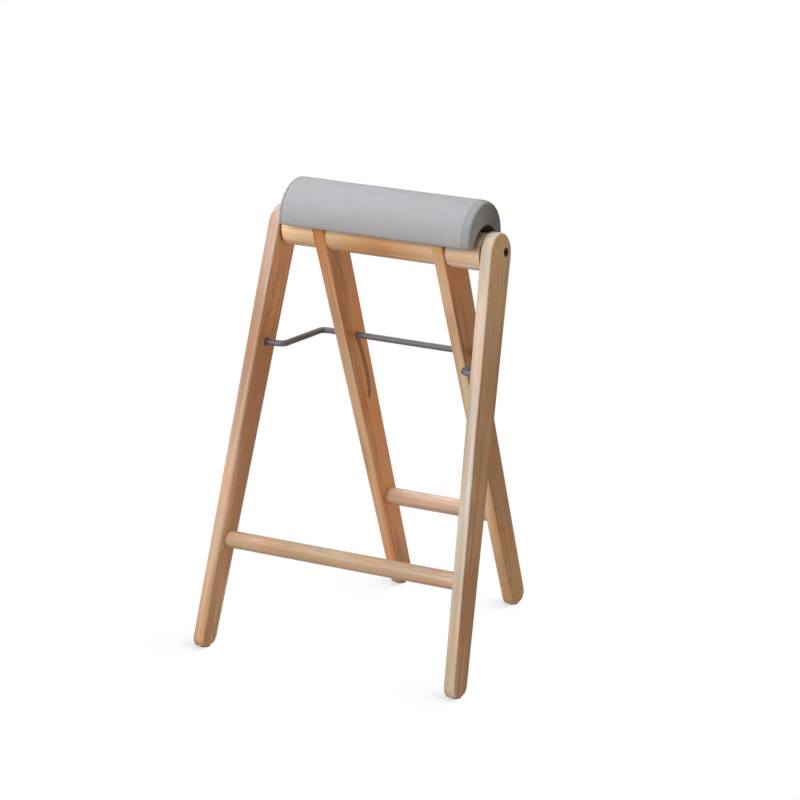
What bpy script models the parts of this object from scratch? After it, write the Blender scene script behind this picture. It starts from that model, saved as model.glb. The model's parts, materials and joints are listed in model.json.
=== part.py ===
"""A tall folding stool: a padded roll on a round seat bar, two frames of tapered legs and a steel stay.

The rear frame is glued up from the seat bar, two legs and a rung. The front frame, two splayed
legs and a rung, swings on a bolt in each end of the bar. A bent steel rod, the stay, turns in the
front legs and slides in a slot in each rear leg. The tops of the slots stop the stool as it opens.

Metres, +Z up, X along the seat bar, the front towards -Y and the floor at Z = 0. Shapes are worked
out with Y = 0 on the bolts' axis, and each object's location moves it to the middle of the floor.
"""
import math

import bmesh
import bpy
from mathutils import Vector

for old in list(bpy.data.objects):
    bpy.data.objects.remove(old, do_unlink=True)

# Fits
GAP = 0.0003  # between neighbours that touch
SLOT_PLAY = 0.0006  # round the stay in its slots
CUTTER_REACH = 0.006  # how far a cutter runs past the surface that it opens

# Frames
PIVOT_HEIGHT = 0.6615  # floor to the bolts' axis
FRONT_LEAN = math.radians(16.4)  # front legs, forwards from upright
REAR_LEAN = math.radians(20.1)  # rear legs, backwards from upright
SPLAY = math.radians(3.3)  # front legs, outwards from upright
FOLD_ANGLE = math.radians(32.0)  # how far the front frame swings back to fold

# Legs
LEG_THICKNESS = 0.020
HEAD_RADIUS = 0.0333  # half of a leg's width at the bar
HEAD_SETBACK = 0.0145  # bolts' axis behind the middle of the legs' heads and the bar
FOOT_WIDTH = 0.042
FOOT_ROUNDING = 0.015
EDGE_ROUNDING = 0.0032
LEG_TOP_ROUNDING = 0.002

# Seat bar
BAR_RADIUS = 0.030
BAR_LENGTH = 0.3576
BAR_EDGE = 0.003
WASHER_THICKNESS = 0.0028  # bar end to front leg, on the bolts' axis, gaps included
HOUSING_RISE = 0.0105  # the rear legs' housings end this far above the bar's middle
REAR_LEG_SPACING = 0.1944  # between the rear legs' inner faces

# Rungs
RUNG_HEIGHT = 0.1715
RUNG_RADIUS = 0.014
TENON_RADIUS = 0.010
TENON_LENGTH = 0.013
RUNG_EDGE = 0.0008

# Stay
STAY_RADIUS = 0.005
STAY_BEND = 0.011  # radius of the rod's bends, on its middle line
STAY_PIVOT_HEIGHT = 0.480
STAY_DROP = 0.0052  # the rod at the top of the slots, below its pivots
STAY_ARM_INSET = 0.031  # front leg's inner face to the arm's middle line
SLOT_SETBACK = 0.002  # the slots' ends behind the middle line of the rear legs
BUSH_RADIUS = 0.007
BUSH_LENGTH = 0.0145
BUSH_STAND = 0.0006  # bush proud of the leg
STAY_END_PLAY = 0.0016

# Pivot bolts and inserts
BOLT_RADIUS = 0.0046
THREAD_RADIUS = 0.0039
BOLT_HEAD_RADIUS = 0.0066
BOLT_HEAD_HEIGHT = 0.0045
BOLT_RECESS = 0.0070
BOLT_REACH = 0.017  # into the bar
SOCKET_WIDTH = 0.006
SOCKET_DEPTH = 0.003
INSERT_RADIUS = 0.006
INSERT_LENGTH = 0.020
WASHER_RADIUS = 0.0115

# Screws
SCREW_RADIUS = 0.0025
SCREW_HEAD_RADIUS = 0.005
SCREW_HEAD_HEIGHT = 0.0030
LEG_SCREW_LENGTH = 0.055
LEG_SCREW_SINK = 0.001
CUSHION_SCREW_X = 0.060
CUSHION_SCREW_SINK = 0.008
CUSHION_SCREW_BITE = 0.007  # above the shell's crown

# Cushion
ROLL_RADIUS = 0.0583
ROLL_RISE = 0.022  # middle of the roll above the middle of the bar
RECESS_RADIUS = 0.0355
LIP_RISE = 0.013  # lips' undersides above the middle of the bar
LIP_CORNER = 0.008
LIP_INNER_CORNER = 0.005
SEAM_X = 0.1605
DOME_RISE = 0.0125
DOME_INSET = 0.010
ROLL_CROWN = 0.0012  # how far the roll's sides draw in towards its seams
FABRIC = 0.0012
SHELL_THICKNESS = 0.004
SHELL_SHORT = 0.002  # shell stops short of each seam
BOSS_RADIUS = 0.007
BOSS_HEIGHT = 0.010
PAD_WIDTH = 0.030
PAD_HALF_ANGLE = math.radians(40.0)

# Glides
GLIDE_HEIGHT = 0.0016  # floor to the wood
GLIDE_RADIUS = 0.0085
GLIDE_EDGE = 0.0005
NAIL_RADIUS = 0.0015
NAIL_LENGTH = 0.014
NAIL_TIP = 0.0003  # radius of its point

# Facets
ROUND = 24  # sides of a turned piece that lies along X
UPRIGHT_ROUND = 12  # sides of a screw, a glide and their holes
BAR_ROUND = 48
HEAD_STEPS = 18
CORNER_STEPS = 3
EDGE_STEPS = 3
SLOT_STEPS = 14
ROLL_STEPS = 28
RECESS_STEPS = 12
DOME_STEPS = 3
CROWN_STEPS = 4
BEND_STEPS = 5

# Search for the stay's ratio
RATIO_RANGE = (1.0, 5.0)
RATIO_HALVINGS = 40

# Derived places; Y is measured from the bolts' axis
BAR_Y = -HEAD_SETBACK
BAR_END = BAR_LENGTH / 2
FRONT_INNER = BAR_END + WASHER_THICKNESS
FRONT_WIDTH = LEG_THICKNESS / math.cos(SPLAY)
FRONT_OUTER = FRONT_INNER + FRONT_WIDTH
REAR_INNER = REAR_LEG_SPACING / 2
REAR_OUTER = REAR_INNER + LEG_THICKNESS
ROLL_Z = PIVOT_HEIGHT + ROLL_RISE
LIP_Z = PIVOT_HEIGHT + LIP_RISE
SHELL_INNER = RECESS_RADIUS + FABRIC + GAP
SHELL_OUTER = SHELL_INNER + SHELL_THICKNESS
HOUSING_TOP = PIVOT_HEIGHT + HOUSING_RISE
LEG_TOP = HOUSING_TOP - GAP
SIDES = {"left": -1, "right": 1}


# Materials

def material(name, colour, roughness, metallic=0.0):
    """A plain Principled material."""
    made = bpy.data.materials.new(name)
    made.use_nodes = True
    made.diffuse_color = (*colour, 1.0)
    shader = made.node_tree.nodes["Principled BSDF"]
    shader.inputs["Base Color"].default_value = (*colour, 1.0)
    shader.inputs["Roughness"].default_value = roughness
    shader.inputs["Metallic"].default_value = metallic
    return made


WOOD = material("oiled_beech", (0.62, 0.38, 0.22), 0.55)
FABRIC_GREY = material("light_grey_fabric", (0.50, 0.50, 0.53), 0.92)
END_GREY = material("end_panel_fabric", (0.44, 0.44, 0.46), 0.92)
STEEL = material("coated_steel", (0.17, 0.17, 0.19), 0.42, 0.6)
DARK_STEEL = material("black_steel", (0.04, 0.035, 0.03), 0.4, 0.8)
ZINC = material("zinc", (0.55, 0.55, 0.53), 0.35, 1.0)
NYLON = material("dark_nylon", (0.06, 0.06, 0.065), 0.6)
SHELL_PLASTIC = material("black_shell", (0.05, 0.05, 0.05), 0.6)
FOAM = material("foam", (0.80, 0.74, 0.52), 0.95)
CORK = material("cork", (0.45, 0.30, 0.18), 0.9)


# Outlines in the YZ plane

def arc(centre, radius, start, stop, steps):
    """Points along an arc, ends included; angles run from +Y towards +Z."""
    angles = [start + (stop - start) * i / steps for i in range(steps + 1)]
    return [centre + radius * Vector((math.cos(a), math.sin(a))) for a in angles]


def rounded(before, corner, after, radius, steps):
    """Points of the arc that rounds one corner of an outline."""
    back = (before - corner).normalized()
    on = (after - corner).normalized()
    half = back.angle(on) / 2
    reach = radius / math.tan(half)
    centre = corner + (back + on).normalized() * radius / math.sin(half)
    first = corner + back * reach - centre
    last = corner + on * reach - centre
    start = math.atan2(first.y, first.x)
    turn = math.remainder(math.atan2(last.y, last.x) - start, 2 * math.pi)
    return arc(centre, radius, start, start + turn, steps)


def on_leg(lean, z):
    """The point of a leg's middle line at a height; lean is positive towards the rear."""
    return Vector((BAR_Y + math.tan(lean) * (PIVOT_HEIGHT - z), z))


def leg_side(lean, side):
    """One long side of a leg, side -1 at the front: its outward normal and a point on it."""
    head = on_leg(lean, PIVOT_HEIGHT)
    down = on_leg(lean, 0.0) - head
    taper = math.asin((HEAD_RADIUS - FOOT_WIDTH / 2) / down.length)
    along = down.normalized()
    across = Vector((-along.y, along.x)) * side
    normal = across * math.cos(taper) + along * math.sin(taper)
    return normal, head + normal * HEAD_RADIUS


def side_at(lean, side, z):
    """The point of a leg's long side at a height."""
    normal, point = leg_side(lean, side)
    return Vector((point.x - (z - point.y) * normal.y / normal.x, z))


def leg_foot(lean):
    """The rounded end of a leg, from its rear side to its front side."""
    rear = side_at(lean, 1, GLIDE_HEIGHT)
    front = side_at(lean, -1, GLIDE_HEIGHT)
    above_rear = side_at(lean, 1, PIVOT_HEIGHT)
    above_front = side_at(lean, -1, PIVOT_HEIGHT)
    heel = rounded(above_rear, rear, front, FOOT_ROUNDING, CORNER_STEPS)
    toe = rounded(rear, front, above_front, FOOT_ROUNDING, CORNER_STEPS)
    return heel + toe


def front_leg_outline():
    """A leg with a round head, centred in front of the bolt."""
    front, _ = leg_side(-FRONT_LEAN, -1)
    rear, _ = leg_side(-FRONT_LEAN, 1)
    start = math.atan2(front.y, front.x) % (2 * math.pi)
    stop = math.atan2(rear.y, rear.x)
    head = arc(on_leg(-FRONT_LEAN, PIVOT_HEIGHT), HEAD_RADIUS, start, stop, HEAD_STEPS)
    return head + leg_foot(-FRONT_LEAN)


def rear_leg_outline():
    """A leg cut level at the top, where it stands in the bar's housing."""
    front = side_at(REAR_LEAN, -1, LEG_TOP)
    rear = side_at(REAR_LEAN, 1, LEG_TOP)
    below_front = side_at(REAR_LEAN, -1, GLIDE_HEIGHT)
    below_rear = side_at(REAR_LEAN, 1, GLIDE_HEIGHT)
    brow = rounded(below_front, front, rear, LEG_TOP_ROUNDING, CORNER_STEPS)
    nape = rounded(front, rear, below_rear, LEG_TOP_ROUNDING, CORNER_STEPS)
    return brow + nape + leg_foot(REAR_LEAN)


def turned_by(vector, angle):
    """A YZ vector turned about +X."""
    cosine = math.cos(angle)
    sine = math.sin(angle)
    return Vector((cosine * vector.x - sine * vector.y, sine * vector.x + cosine * vector.y))


# The front frame swings about +X, and the stay turns back a constant number of times as far in the
# front legs. Seen from the rear frame its cross rod then follows a shallow curve, and so do the slots.
PIVOT = Vector((0.0, PIVOT_HEIGHT))
STAY_PIVOT = on_leg(-FRONT_LEAN, STAY_PIVOT_HEIGHT)
SLOT_TOP_HEIGHT = STAY_PIVOT_HEIGHT - STAY_DROP
STAY_REST = on_leg(REAR_LEAN, SLOT_TOP_HEIGHT) + Vector((SLOT_SETBACK / math.cos(REAR_LEAN), 0.0))


def cross_rod_at(fold, ratio):
    """Where the stay's cross rod lies in the rear frame when the front frame has swung by fold."""
    hinge = PIVOT + turned_by(STAY_PIVOT - PIVOT, fold)
    return hinge + turned_by(STAY_REST - STAY_PIVOT, fold * (1 - ratio))


def stay_ratio():
    """Turns of the stay for one of the front frame, so that both ends of the slots are set back alike."""
    low, high = RATIO_RANGE
    for _ in range(RATIO_HALVINGS):
        ratio = (low + high) / 2
        rod = cross_rod_at(FOLD_ANGLE, ratio)
        setback = (rod.x - on_leg(REAR_LEAN, rod.y).x) * math.cos(REAR_LEAN)
        if setback > SLOT_SETBACK:
            low = ratio
        else:
            high = ratio
    return (low + high) / 2


def slot_outline():
    """The cross rod's path, widened by its radius and play, with round ends."""
    half = STAY_RADIUS + SLOT_PLAY
    ratio = stay_ratio()
    folds = [FOLD_ANGLE * i / SLOT_STEPS for i in range(SLOT_STEPS + 1)]
    path = [cross_rod_at(fold, ratio) for fold in folds]
    step = FOLD_ANGLE / SLOT_STEPS / 2
    ways = [(cross_rod_at(fold + step, ratio) - cross_rod_at(fold - step, ratio)).normalized()
            for fold in folds]
    rear = [point + Vector((-way.y, way.x)) * half for point, way in zip(path, ways)]
    front = [point - Vector((-way.y, way.x)) * half for point, way in zip(path, ways)]
    low = math.atan2(ways[-1].x, -ways[-1].y)
    high = math.atan2(ways[0].x, -ways[0].y)
    bottom = arc(path[-1], half, low, low - math.pi, SLOT_STEPS // 2)
    top = arc(path[0], half, high + math.pi, high, SLOT_STEPS // 2)
    return rear + bottom[1:-1] + list(reversed(front)) + top[1:-1]


def roll_section(outer, recess, lip, outer_corner, inner_corner):
    """The cushion's C-shaped section: a roll that opens downwards over the bar."""
    middle = Vector((BAR_Y, ROLL_Z))
    bar = Vector((BAR_Y, PIVOT_HEIGHT))
    corner_z = lip + outer_corner
    outside = math.asin((corner_z - ROLL_Z) / (outer - outer_corner))
    corner_y = (outer - outer_corner) * math.cos(outside)
    inner_z = lip + inner_corner
    inside = math.asin((inner_z - PIVOT_HEIGHT) / (recess + inner_corner))
    inner_y = (recess + inner_corner) * math.cos(inside)
    half_turn = math.pi
    down = 1.5 * math.pi
    points = arc(Vector((BAR_Y - corner_y, corner_z)), outer_corner, down, half_turn - outside, CORNER_STEPS)
    points += arc(middle, outer, half_turn - outside, outside, ROLL_STEPS)[1:-1]
    points += arc(Vector((BAR_Y + corner_y, corner_z)), outer_corner, outside, down - 2 * half_turn, CORNER_STEPS)
    points += arc(Vector((BAR_Y + inner_y, inner_z)), inner_corner, down, half_turn + inside, CORNER_STEPS)
    points += arc(bar, recess, inside, half_turn - inside, RECESS_STEPS)[1:-1]
    points += arc(Vector((BAR_Y - inner_y, inner_z)), inner_corner, 2 * half_turn - inside, down, CORNER_STEPS)
    return points


# Solids

def loft(rings, closed=False):
    """Skin a row of equal rings; the ends are capped, or joined to each other when closed."""
    bm = bmesh.new()
    loops = [[bm.verts.new(point) for point in ring] for ring in rings]
    pairs = list(zip(loops, loops[1:]))
    if closed:
        pairs.append((loops[-1], loops[0]))
    else:
        bm.faces.new(list(reversed(loops[0])))
        bm.faces.new(loops[-1])
    for low, high in pairs:
        for i, corner in enumerate(low):
            j = (i + 1) % len(low)
            bm.faces.new((corner, low[j], high[j], high[i]))
    bmesh.ops.recalc_face_normals(bm, faces=bm.faces)
    return bm


def ring_at(x, outline):
    """An outline of YZ points, set at one X."""
    return [(x, point.x, point.y) for point in outline]


def slab(outline, x_low, x_high):
    """An outline pulled along X."""
    return loft([ring_at(x_low, outline), ring_at(x_high, outline)])


def circle(radius, sides=ROUND):
    """Points of a circle."""
    return [Vector((radius * math.cos(a), radius * math.sin(a)))
            for a in (2 * math.pi * i / sides for i in range(sides))]


def hexagon(width, sides=ROUND):
    """Points along a hexagon, as many as a circle has."""
    sector = math.pi / 3
    angles = [2 * math.pi * i / sides for i in range(sides)]
    radii = [width / 2 / math.cos(a % sector - sector / 2) for a in angles]
    return [Vector((r * math.cos(a), r * math.sin(a))) for a, r in zip(angles, radii)]


def along_x(profile, y, z, side=1, closed=False, sides=ROUND):
    """A turned piece on an axis along X: (x, radius) pairs, mirrored to the left by side -1."""
    rings = [[(side * x, y + p.x, z + p.y) for p in circle(radius, sides)] for x, radius in profile]
    return loft(rings, closed)


def along_z(profile, x, y):
    """A turned piece on an upright axis: (z, radius) pairs."""
    return loft([[(x + p.x, y + p.y, z) for p in circle(radius, UPRIGHT_ROUND)] for z, radius in profile])


def round_long_edges(bm, width):
    """Round the edges between a slab's two flat sides and its rim."""
    flats = [face for face in bm.faces if len(face.verts) > 4]
    edges = {edge for face in flats for edge in face.edges}
    bmesh.ops.bevel(bm, geom=list(edges), offset=width, segments=EDGE_STEPS, profile=0.5,
                    affect="EDGES", offset_type="OFFSET")


def splay_out(bm, side):
    """Lean a front leg outwards by sliding each level sideways."""
    for vert in bm.verts:
        vert.co.x += side * math.tan(SPLAY) * (PIVOT_HEIGHT - vert.co.z)


def splay_at(z):
    """How far the front legs' faces lie outwards at a height, against the bolts' axis."""
    return math.tan(SPLAY) * (PIVOT_HEIGHT - z)


# Objects

OUTLINE_YS = [point.x for point in front_leg_outline() + rear_leg_outline()]
BOLT_Y = -(min(OUTLINE_YS) + max(OUTLINE_YS)) / 2
FRONT_PIECES = bpy.data.objects.new("front_frame_pivot", None)
FRONT_PIECES.location = (0.0, BOLT_Y, PIVOT_HEIGHT)
STAY_PIECES = bpy.data.objects.new("stay_pivot", None)
STAY_PIECES.parent = FRONT_PIECES
STAY_PIECES.location = (0.0, STAY_PIVOT.x, STAY_PIVOT.y - PIVOT_HEIGHT)
for empty in (FRONT_PIECES, STAY_PIECES):
    bpy.context.scene.collection.objects.link(empty)


def add(name, bm, finish, origin, parent=None):
    """Turn a bmesh into an object whose origin is at a point, under a pivot where it has one."""
    origin = Vector(origin)
    bmesh.ops.translate(bm, verts=bm.verts, vec=-origin)
    mesh = bpy.data.meshes.new(name)
    bm.to_mesh(mesh)
    bm.free()
    mesh.shade_smooth()
    mesh.set_sharp_from_angle(angle=math.radians(35))
    made = bpy.data.objects.new(name, mesh)
    bpy.context.scene.collection.objects.link(made)
    made.location = origin + Vector((0.0, BOLT_Y, 0.0))
    if parent:
        made.parent = parent
        made.location = origin - Vector((0.0, 0.0, PIVOT_HEIGHT))
    mesh.materials.append(finish)
    return made


def shape(target, solids, operation="DIFFERENCE"):
    """Cut solids out of an object, or join them to it."""
    for solid in solids:
        tool = add(f"{target.name}_tool", solid, target.data.materials[0], (0.0, 0.0, 0.0))
        tool.hide_render = True
        tool.display_type = "WIRE"
        change = target.modifiers.new(operation.lower(), "BOOLEAN")
        change.operation = operation
        change.solver = "EXACT"
        change.object = tool


# Legs

def nail_hole(x, y):
    """The hole for a glide's nail, up into a foot."""
    top = GLIDE_HEIGHT + NAIL_LENGTH + GAP
    return along_z([(GLIDE_HEIGHT - CUTTER_REACH, NAIL_RADIUS + GAP), (top, NAIL_RADIUS + GAP)], x, y)


def foot_place(lean, side, middle_x):
    """Where a leg's glide goes: the middle of its flat underside."""
    splay = splay_at(GLIDE_HEIGHT) if lean < 0 else 0.0
    flat = [point.x for point in leg_foot(lean) if point.y < GLIDE_HEIGHT + GAP / 2]
    return side * (middle_x + splay), (min(flat) + max(flat)) / 2


def tenon_hole(inner, side, lean):
    """The blind hole for a rung's tenon in a leg's inner face."""
    place = on_leg(lean, RUNG_HEIGHT)
    radius = TENON_RADIUS + GAP
    return along_x([(inner - CUTTER_REACH, radius), (inner + TENON_LENGTH + GAP, radius)], place.x, place.y, side)


def front_leg(name, side):
    """A splayed front leg with holes for the bolt, the stay's bush and the rung."""
    bm = slab(front_leg_outline(), side * FRONT_INNER, side * FRONT_OUTER)
    round_long_edges(bm, EDGE_ROUNDING)
    splay_out(bm, side)
    leg = add(f"front_leg_{name}", bm, WOOD, (side * FRONT_INNER, 0.0, PIVOT_HEIGHT), FRONT_PIECES)
    seat = FRONT_OUTER - BOLT_RECESS
    bolt = [(FRONT_INNER - CUTTER_REACH, BOLT_RADIUS + GAP), (seat, BOLT_RADIUS + GAP),
            (seat, BOLT_HEAD_RADIUS + GAP), (FRONT_OUTER + CUTTER_REACH, BOLT_HEAD_RADIUS + GAP)]
    bush_face = FRONT_INNER + splay_at(STAY_PIVOT_HEIGHT)
    bush = [(bush_face - CUTTER_REACH, BUSH_RADIUS + GAP), (bush_face + BUSH_LENGTH + GAP, BUSH_RADIUS + GAP)]
    shape(leg, [
        along_x(bolt, 0.0, PIVOT_HEIGHT, side),
        along_x(bush, STAY_PIVOT.x, STAY_PIVOT.y, side),
        tenon_hole(FRONT_INNER + splay_at(RUNG_HEIGHT), side, -FRONT_LEAN),
        nail_hole(*foot_place(-FRONT_LEAN, side, (FRONT_INNER + FRONT_OUTER) / 2)),
    ])


def rear_leg(name, side):
    """An upright-sided rear leg with its slot, its rung's hole and a hole for the bar's screw."""
    bm = slab(rear_leg_outline(), side * REAR_INNER, side * REAR_OUTER)
    round_long_edges(bm, EDGE_ROUNDING)
    middle = side * (REAR_INNER + REAR_OUTER) / 2
    leg = add(f"rear_leg_{name}", bm, WOOD, (middle, BAR_Y, PIVOT_HEIGHT))
    slot_ends = sorted((side * (REAR_INNER - CUTTER_REACH), side * (REAR_OUTER + CUTTER_REACH)))
    tip = leg_screw_tip() - GAP
    shape(leg, [
        slab(slot_outline(), *slot_ends),
        tenon_hole(REAR_INNER, side, REAR_LEAN),
        along_z([(tip, SCREW_RADIUS + GAP), (LEG_TOP + CUTTER_REACH, SCREW_RADIUS + GAP)], middle, BAR_Y),
        nail_hole(*foot_place(REAR_LEAN, side, (REAR_INNER + REAR_OUTER) / 2)),
    ])


# Rungs

def rung(name, reach, slope, lean, parent=None):
    """A round rung with a tenon at each end; its shoulders follow the legs' faces."""
    place = on_leg(lean, RUNG_HEIGHT)
    shoulder = reach - GAP
    tip = reach + TENON_LENGTH
    half = [(shoulder - RUNG_EDGE, RUNG_RADIUS), (shoulder, RUNG_RADIUS - RUNG_EDGE), (shoulder, TENON_RADIUS),
            (tip - RUNG_EDGE, TENON_RADIUS), (tip, TENON_RADIUS - RUNG_EDGE)]
    profile = [(-x, radius) for x, radius in reversed(half)] + half
    bm = along_x(profile, place.x, place.y)
    for vert in bm.verts:
        if abs(vert.co.x) < shoulder + GAP:
            vert.co.x += math.copysign(1, vert.co.x) * slope * (place.y - vert.co.z)
    add(name, bm, WOOD, (0.0, place.x, place.y), parent)


# Seat bar and what holds it

def leg_screw_top():
    """Top of the screws that go down through the bar into the rear legs."""
    return PIVOT_HEIGHT + BAR_RADIUS - LEG_SCREW_SINK


def leg_screw_tip():
    """Lower end of the same screws."""
    return leg_screw_top() - LEG_SCREW_LENGTH


def countersunk(tip, top, clearance=0.0):
    """Profile of a screw with a conical head; clearance makes it the hole for one."""
    shank = SCREW_RADIUS + clearance
    head = SCREW_HEAD_RADIUS + clearance
    return [(tip - clearance, shank), (top - SCREW_HEAD_HEIGHT - clearance, shank), (top - clearance, head)]


def seat_bar():
    """The round bar, with a housing over each rear leg and holes for its fasteners."""
    half = [(BAR_END - BAR_EDGE * (1 - math.sin(a)), BAR_RADIUS - BAR_EDGE * (1 - math.cos(a)))
            for a in (math.pi / 2 * i / EDGE_STEPS for i in range(EDGE_STEPS + 1))]
    profile = [(-x, radius) for x, radius in reversed(half)] + half
    bm = along_x(profile, BAR_Y, PIVOT_HEIGHT, sides=BAR_ROUND)
    bar = add("seat_bar", bm, WOOD, (0.0, BAR_Y, PIVOT_HEIGHT))
    reach = BAR_RADIUS + CUTTER_REACH
    over = PIVOT_HEIGHT + reach
    under = PIVOT_HEIGHT - reach
    housing = [Vector((BAR_Y - reach, under)), Vector((BAR_Y + reach, under)),
               Vector((BAR_Y + reach, HOUSING_TOP)), Vector((BAR_Y - reach, HOUSING_TOP))]
    head_seat = PIVOT_HEIGHT - BAR_RADIUS + CUSHION_SCREW_SINK
    for side in SIDES.values():
        ends = sorted((side * (REAR_INNER - GAP), side * (REAR_OUTER + GAP)))
        screw_x = side * (REAR_INNER + REAR_OUTER) / 2
        screw = countersunk(leg_screw_tip(), leg_screw_top(), GAP) + [(over, SCREW_HEAD_RADIUS + GAP)]
        cushion_screw = [(under, SCREW_HEAD_RADIUS + GAP), (head_seat, SCREW_HEAD_RADIUS + GAP),
                         (head_seat, SCREW_RADIUS + GAP), (over, SCREW_RADIUS + GAP)]
        insert_end = BAR_END - INSERT_LENGTH - 2 * GAP
        insert = [(insert_end, INSERT_RADIUS + GAP), (BAR_END + CUTTER_REACH, INSERT_RADIUS + GAP)]
        shape(bar, [
            slab(housing, *ends),
            along_z(screw, screw_x, BAR_Y),
            along_z(cushion_screw, side * CUSHION_SCREW_X, BAR_Y),
            along_x(insert, 0.0, PIVOT_HEIGHT, side),
        ])


def pivot_pieces(name, side):
    """Bolt, wedge washer and threaded insert at one end of the bar."""
    bore = THREAD_RADIUS + GAP
    insert_low = BAR_END - GAP - INSERT_LENGTH
    insert = [(insert_low, bore), (insert_low, INSERT_RADIUS), (BAR_END - GAP, INSERT_RADIUS), (BAR_END - GAP, bore)]
    add(f"pivot_insert_{name}", along_x(insert, 0.0, PIVOT_HEIGHT, side, closed=True), ZINC,
        (side * BAR_END, 0.0, PIVOT_HEIGHT))

    inner = BOLT_RADIUS + GAP
    low = BAR_END + GAP
    high = FRONT_INNER - GAP
    washer = along_x([(low, inner), (low, WASHER_RADIUS), (high, WASHER_RADIUS), (high, inner)],
                     0.0, PIVOT_HEIGHT, side, closed=True)
    for vert in washer.verts:
        if abs(vert.co.x) > (low + high) / 2:
            vert.co.x += side * splay_at(vert.co.z)
    add(f"pivot_washer_{name}", washer, NYLON, (side * BAR_END, 0.0, PIVOT_HEIGHT), FRONT_PIECES)

    head_low = FRONT_OUTER - BOLT_RECESS + GAP
    head_high = head_low + BOLT_HEAD_HEIGHT
    stem = [(BAR_END - BOLT_REACH, THREAD_RADIUS), (low, THREAD_RADIUS), (low, BOLT_RADIUS),
            (head_low, BOLT_RADIUS), (head_low, BOLT_HEAD_RADIUS), (head_high, BOLT_HEAD_RADIUS)]
    rings = [[(side * x, p.x, PIVOT_HEIGHT + p.y) for p in circle(radius)] for x, radius in stem]
    for x in (head_high, head_high - SOCKET_DEPTH):
        rings.append([(side * x, p.x, PIVOT_HEIGHT + p.y) for p in hexagon(SOCKET_WIDTH)])
    add(f"pivot_bolt_{name}", loft(rings), DARK_STEEL, (side * FRONT_OUTER, 0.0, PIVOT_HEIGHT))


def leg_screw(name, side):
    """The screw that ties a rear leg to the bar."""
    x = side * (REAR_INNER + REAR_OUTER) / 2
    bm = along_z(countersunk(leg_screw_tip(), leg_screw_top()), x, BAR_Y)
    add(f"leg_screw_{name}", bm, ZINC, (x, BAR_Y, leg_screw_top()))


# Stay

def stay():
    """The bent steel rod, and the nylon bushes that it turns in."""
    arm = STAY_REST - STAY_PIVOT
    leg_face = FRONT_INNER + splay_at(STAY_PIVOT_HEIGHT)
    arm_x = leg_face - STAY_ARM_INSET
    tip_x = leg_face + BUSH_LENGTH - STAY_END_PLAY
    corners = [Vector((tip_x, 0.0)), Vector((arm_x, 0.0)), Vector((arm_x, arm.length)), Vector((0.0, arm.length))]
    right = [corners[0]]
    for before, corner, after in zip(corners, corners[1:], corners[2:]):
        right += rounded(before, corner, after, STAY_BEND, BEND_STEPS)
    path = right + [Vector((-point.x, point.y)) for point in reversed(right)]
    way = arm.normalized()
    curve = bpy.data.curves.new("stay_rod", "CURVE")
    curve.dimensions = "3D"
    curve.bevel_depth = STAY_RADIUS
    curve.bevel_resolution = 4
    curve.use_fill_caps = True
    spline = curve.splines.new("POLY")
    spline.points.add(len(path) - 1)
    for slot, point in zip(spline.points, path):
        slot.co = (point.x, way.x * point.y, way.y * point.y, 1.0)
    curve.materials.append(STEEL)
    rod = bpy.data.objects.new("stay_rod", curve)
    bpy.context.scene.collection.objects.link(rod)
    rod.parent = STAY_PIECES

    for name, side in SIDES.items():
        low = leg_face - BUSH_STAND
        high = leg_face + BUSH_LENGTH
        bore = STAY_RADIUS + GAP
        bush = along_x([(low, bore), (low, BUSH_RADIUS), (high, BUSH_RADIUS), (high, bore)],
                       STAY_PIVOT.x, STAY_PIVOT.y, side, closed=True)
        add(f"stay_bush_{name}", bush, NYLON, (side * leg_face, STAY_PIVOT.x, STAY_PIVOT.y), FRONT_PIECES)


# Glides

def glide(name, place, parent=None):
    """A nail-in glide under a foot, which the stool stands on."""
    x, y = place
    top = GLIDE_HEIGHT - GAP
    profile = [(0.0, GLIDE_RADIUS - GLIDE_EDGE), (GLIDE_EDGE, GLIDE_RADIUS), (top, GLIDE_RADIUS),
               (top, NAIL_RADIUS), (GLIDE_HEIGHT + NAIL_LENGTH - NAIL_RADIUS, NAIL_RADIUS),
               (GLIDE_HEIGHT + NAIL_LENGTH, NAIL_TIP)]
    add(name, along_z(profile, x, y), NYLON, (x, y, 0.0), parent)


# Cushion

def section_at(inset, crown, recess=0.0):
    """The roll's section, drawn in all round by an inset, and its outside by the crown as well."""
    corner = max(LIP_CORNER - inset, FABRIC / 2)
    inner_corner = max(LIP_INNER_CORNER - inset, FABRIC / 2)
    hollow = max(RECESS_RADIUS + inset, recess)
    return roll_section(ROLL_RADIUS - inset - crown, hollow, LIP_Z + inset, corner, inner_corner)


def body_rings(inset, end, recess=0.0):
    """Rings of the roll from one seam to the other, drawn in a little towards the seams."""
    xs = [end * (2 * i / CROWN_STEPS - 1) for i in range(CROWN_STEPS + 1)]
    return [ring_at(x, section_at(inset, ROLL_CROWN * (x / end) ** 4, recess)) for x in xs]


def dome_rings(inset, start, side, recess=0.0):
    """Rings of a rounded end, from the seam outwards."""
    rings = []
    for i in range(DOME_STEPS + 1):
        turn = math.pi / 2 * i / DOME_STEPS
        x = start + (SEAM_X + DOME_RISE - inset - start) * math.sin(turn)
        drawn = inset + DOME_INSET * (1 - math.cos(turn))
        rings.append(ring_at(side * x, section_at(drawn, ROLL_CROWN, recess)))
    return rings


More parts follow.
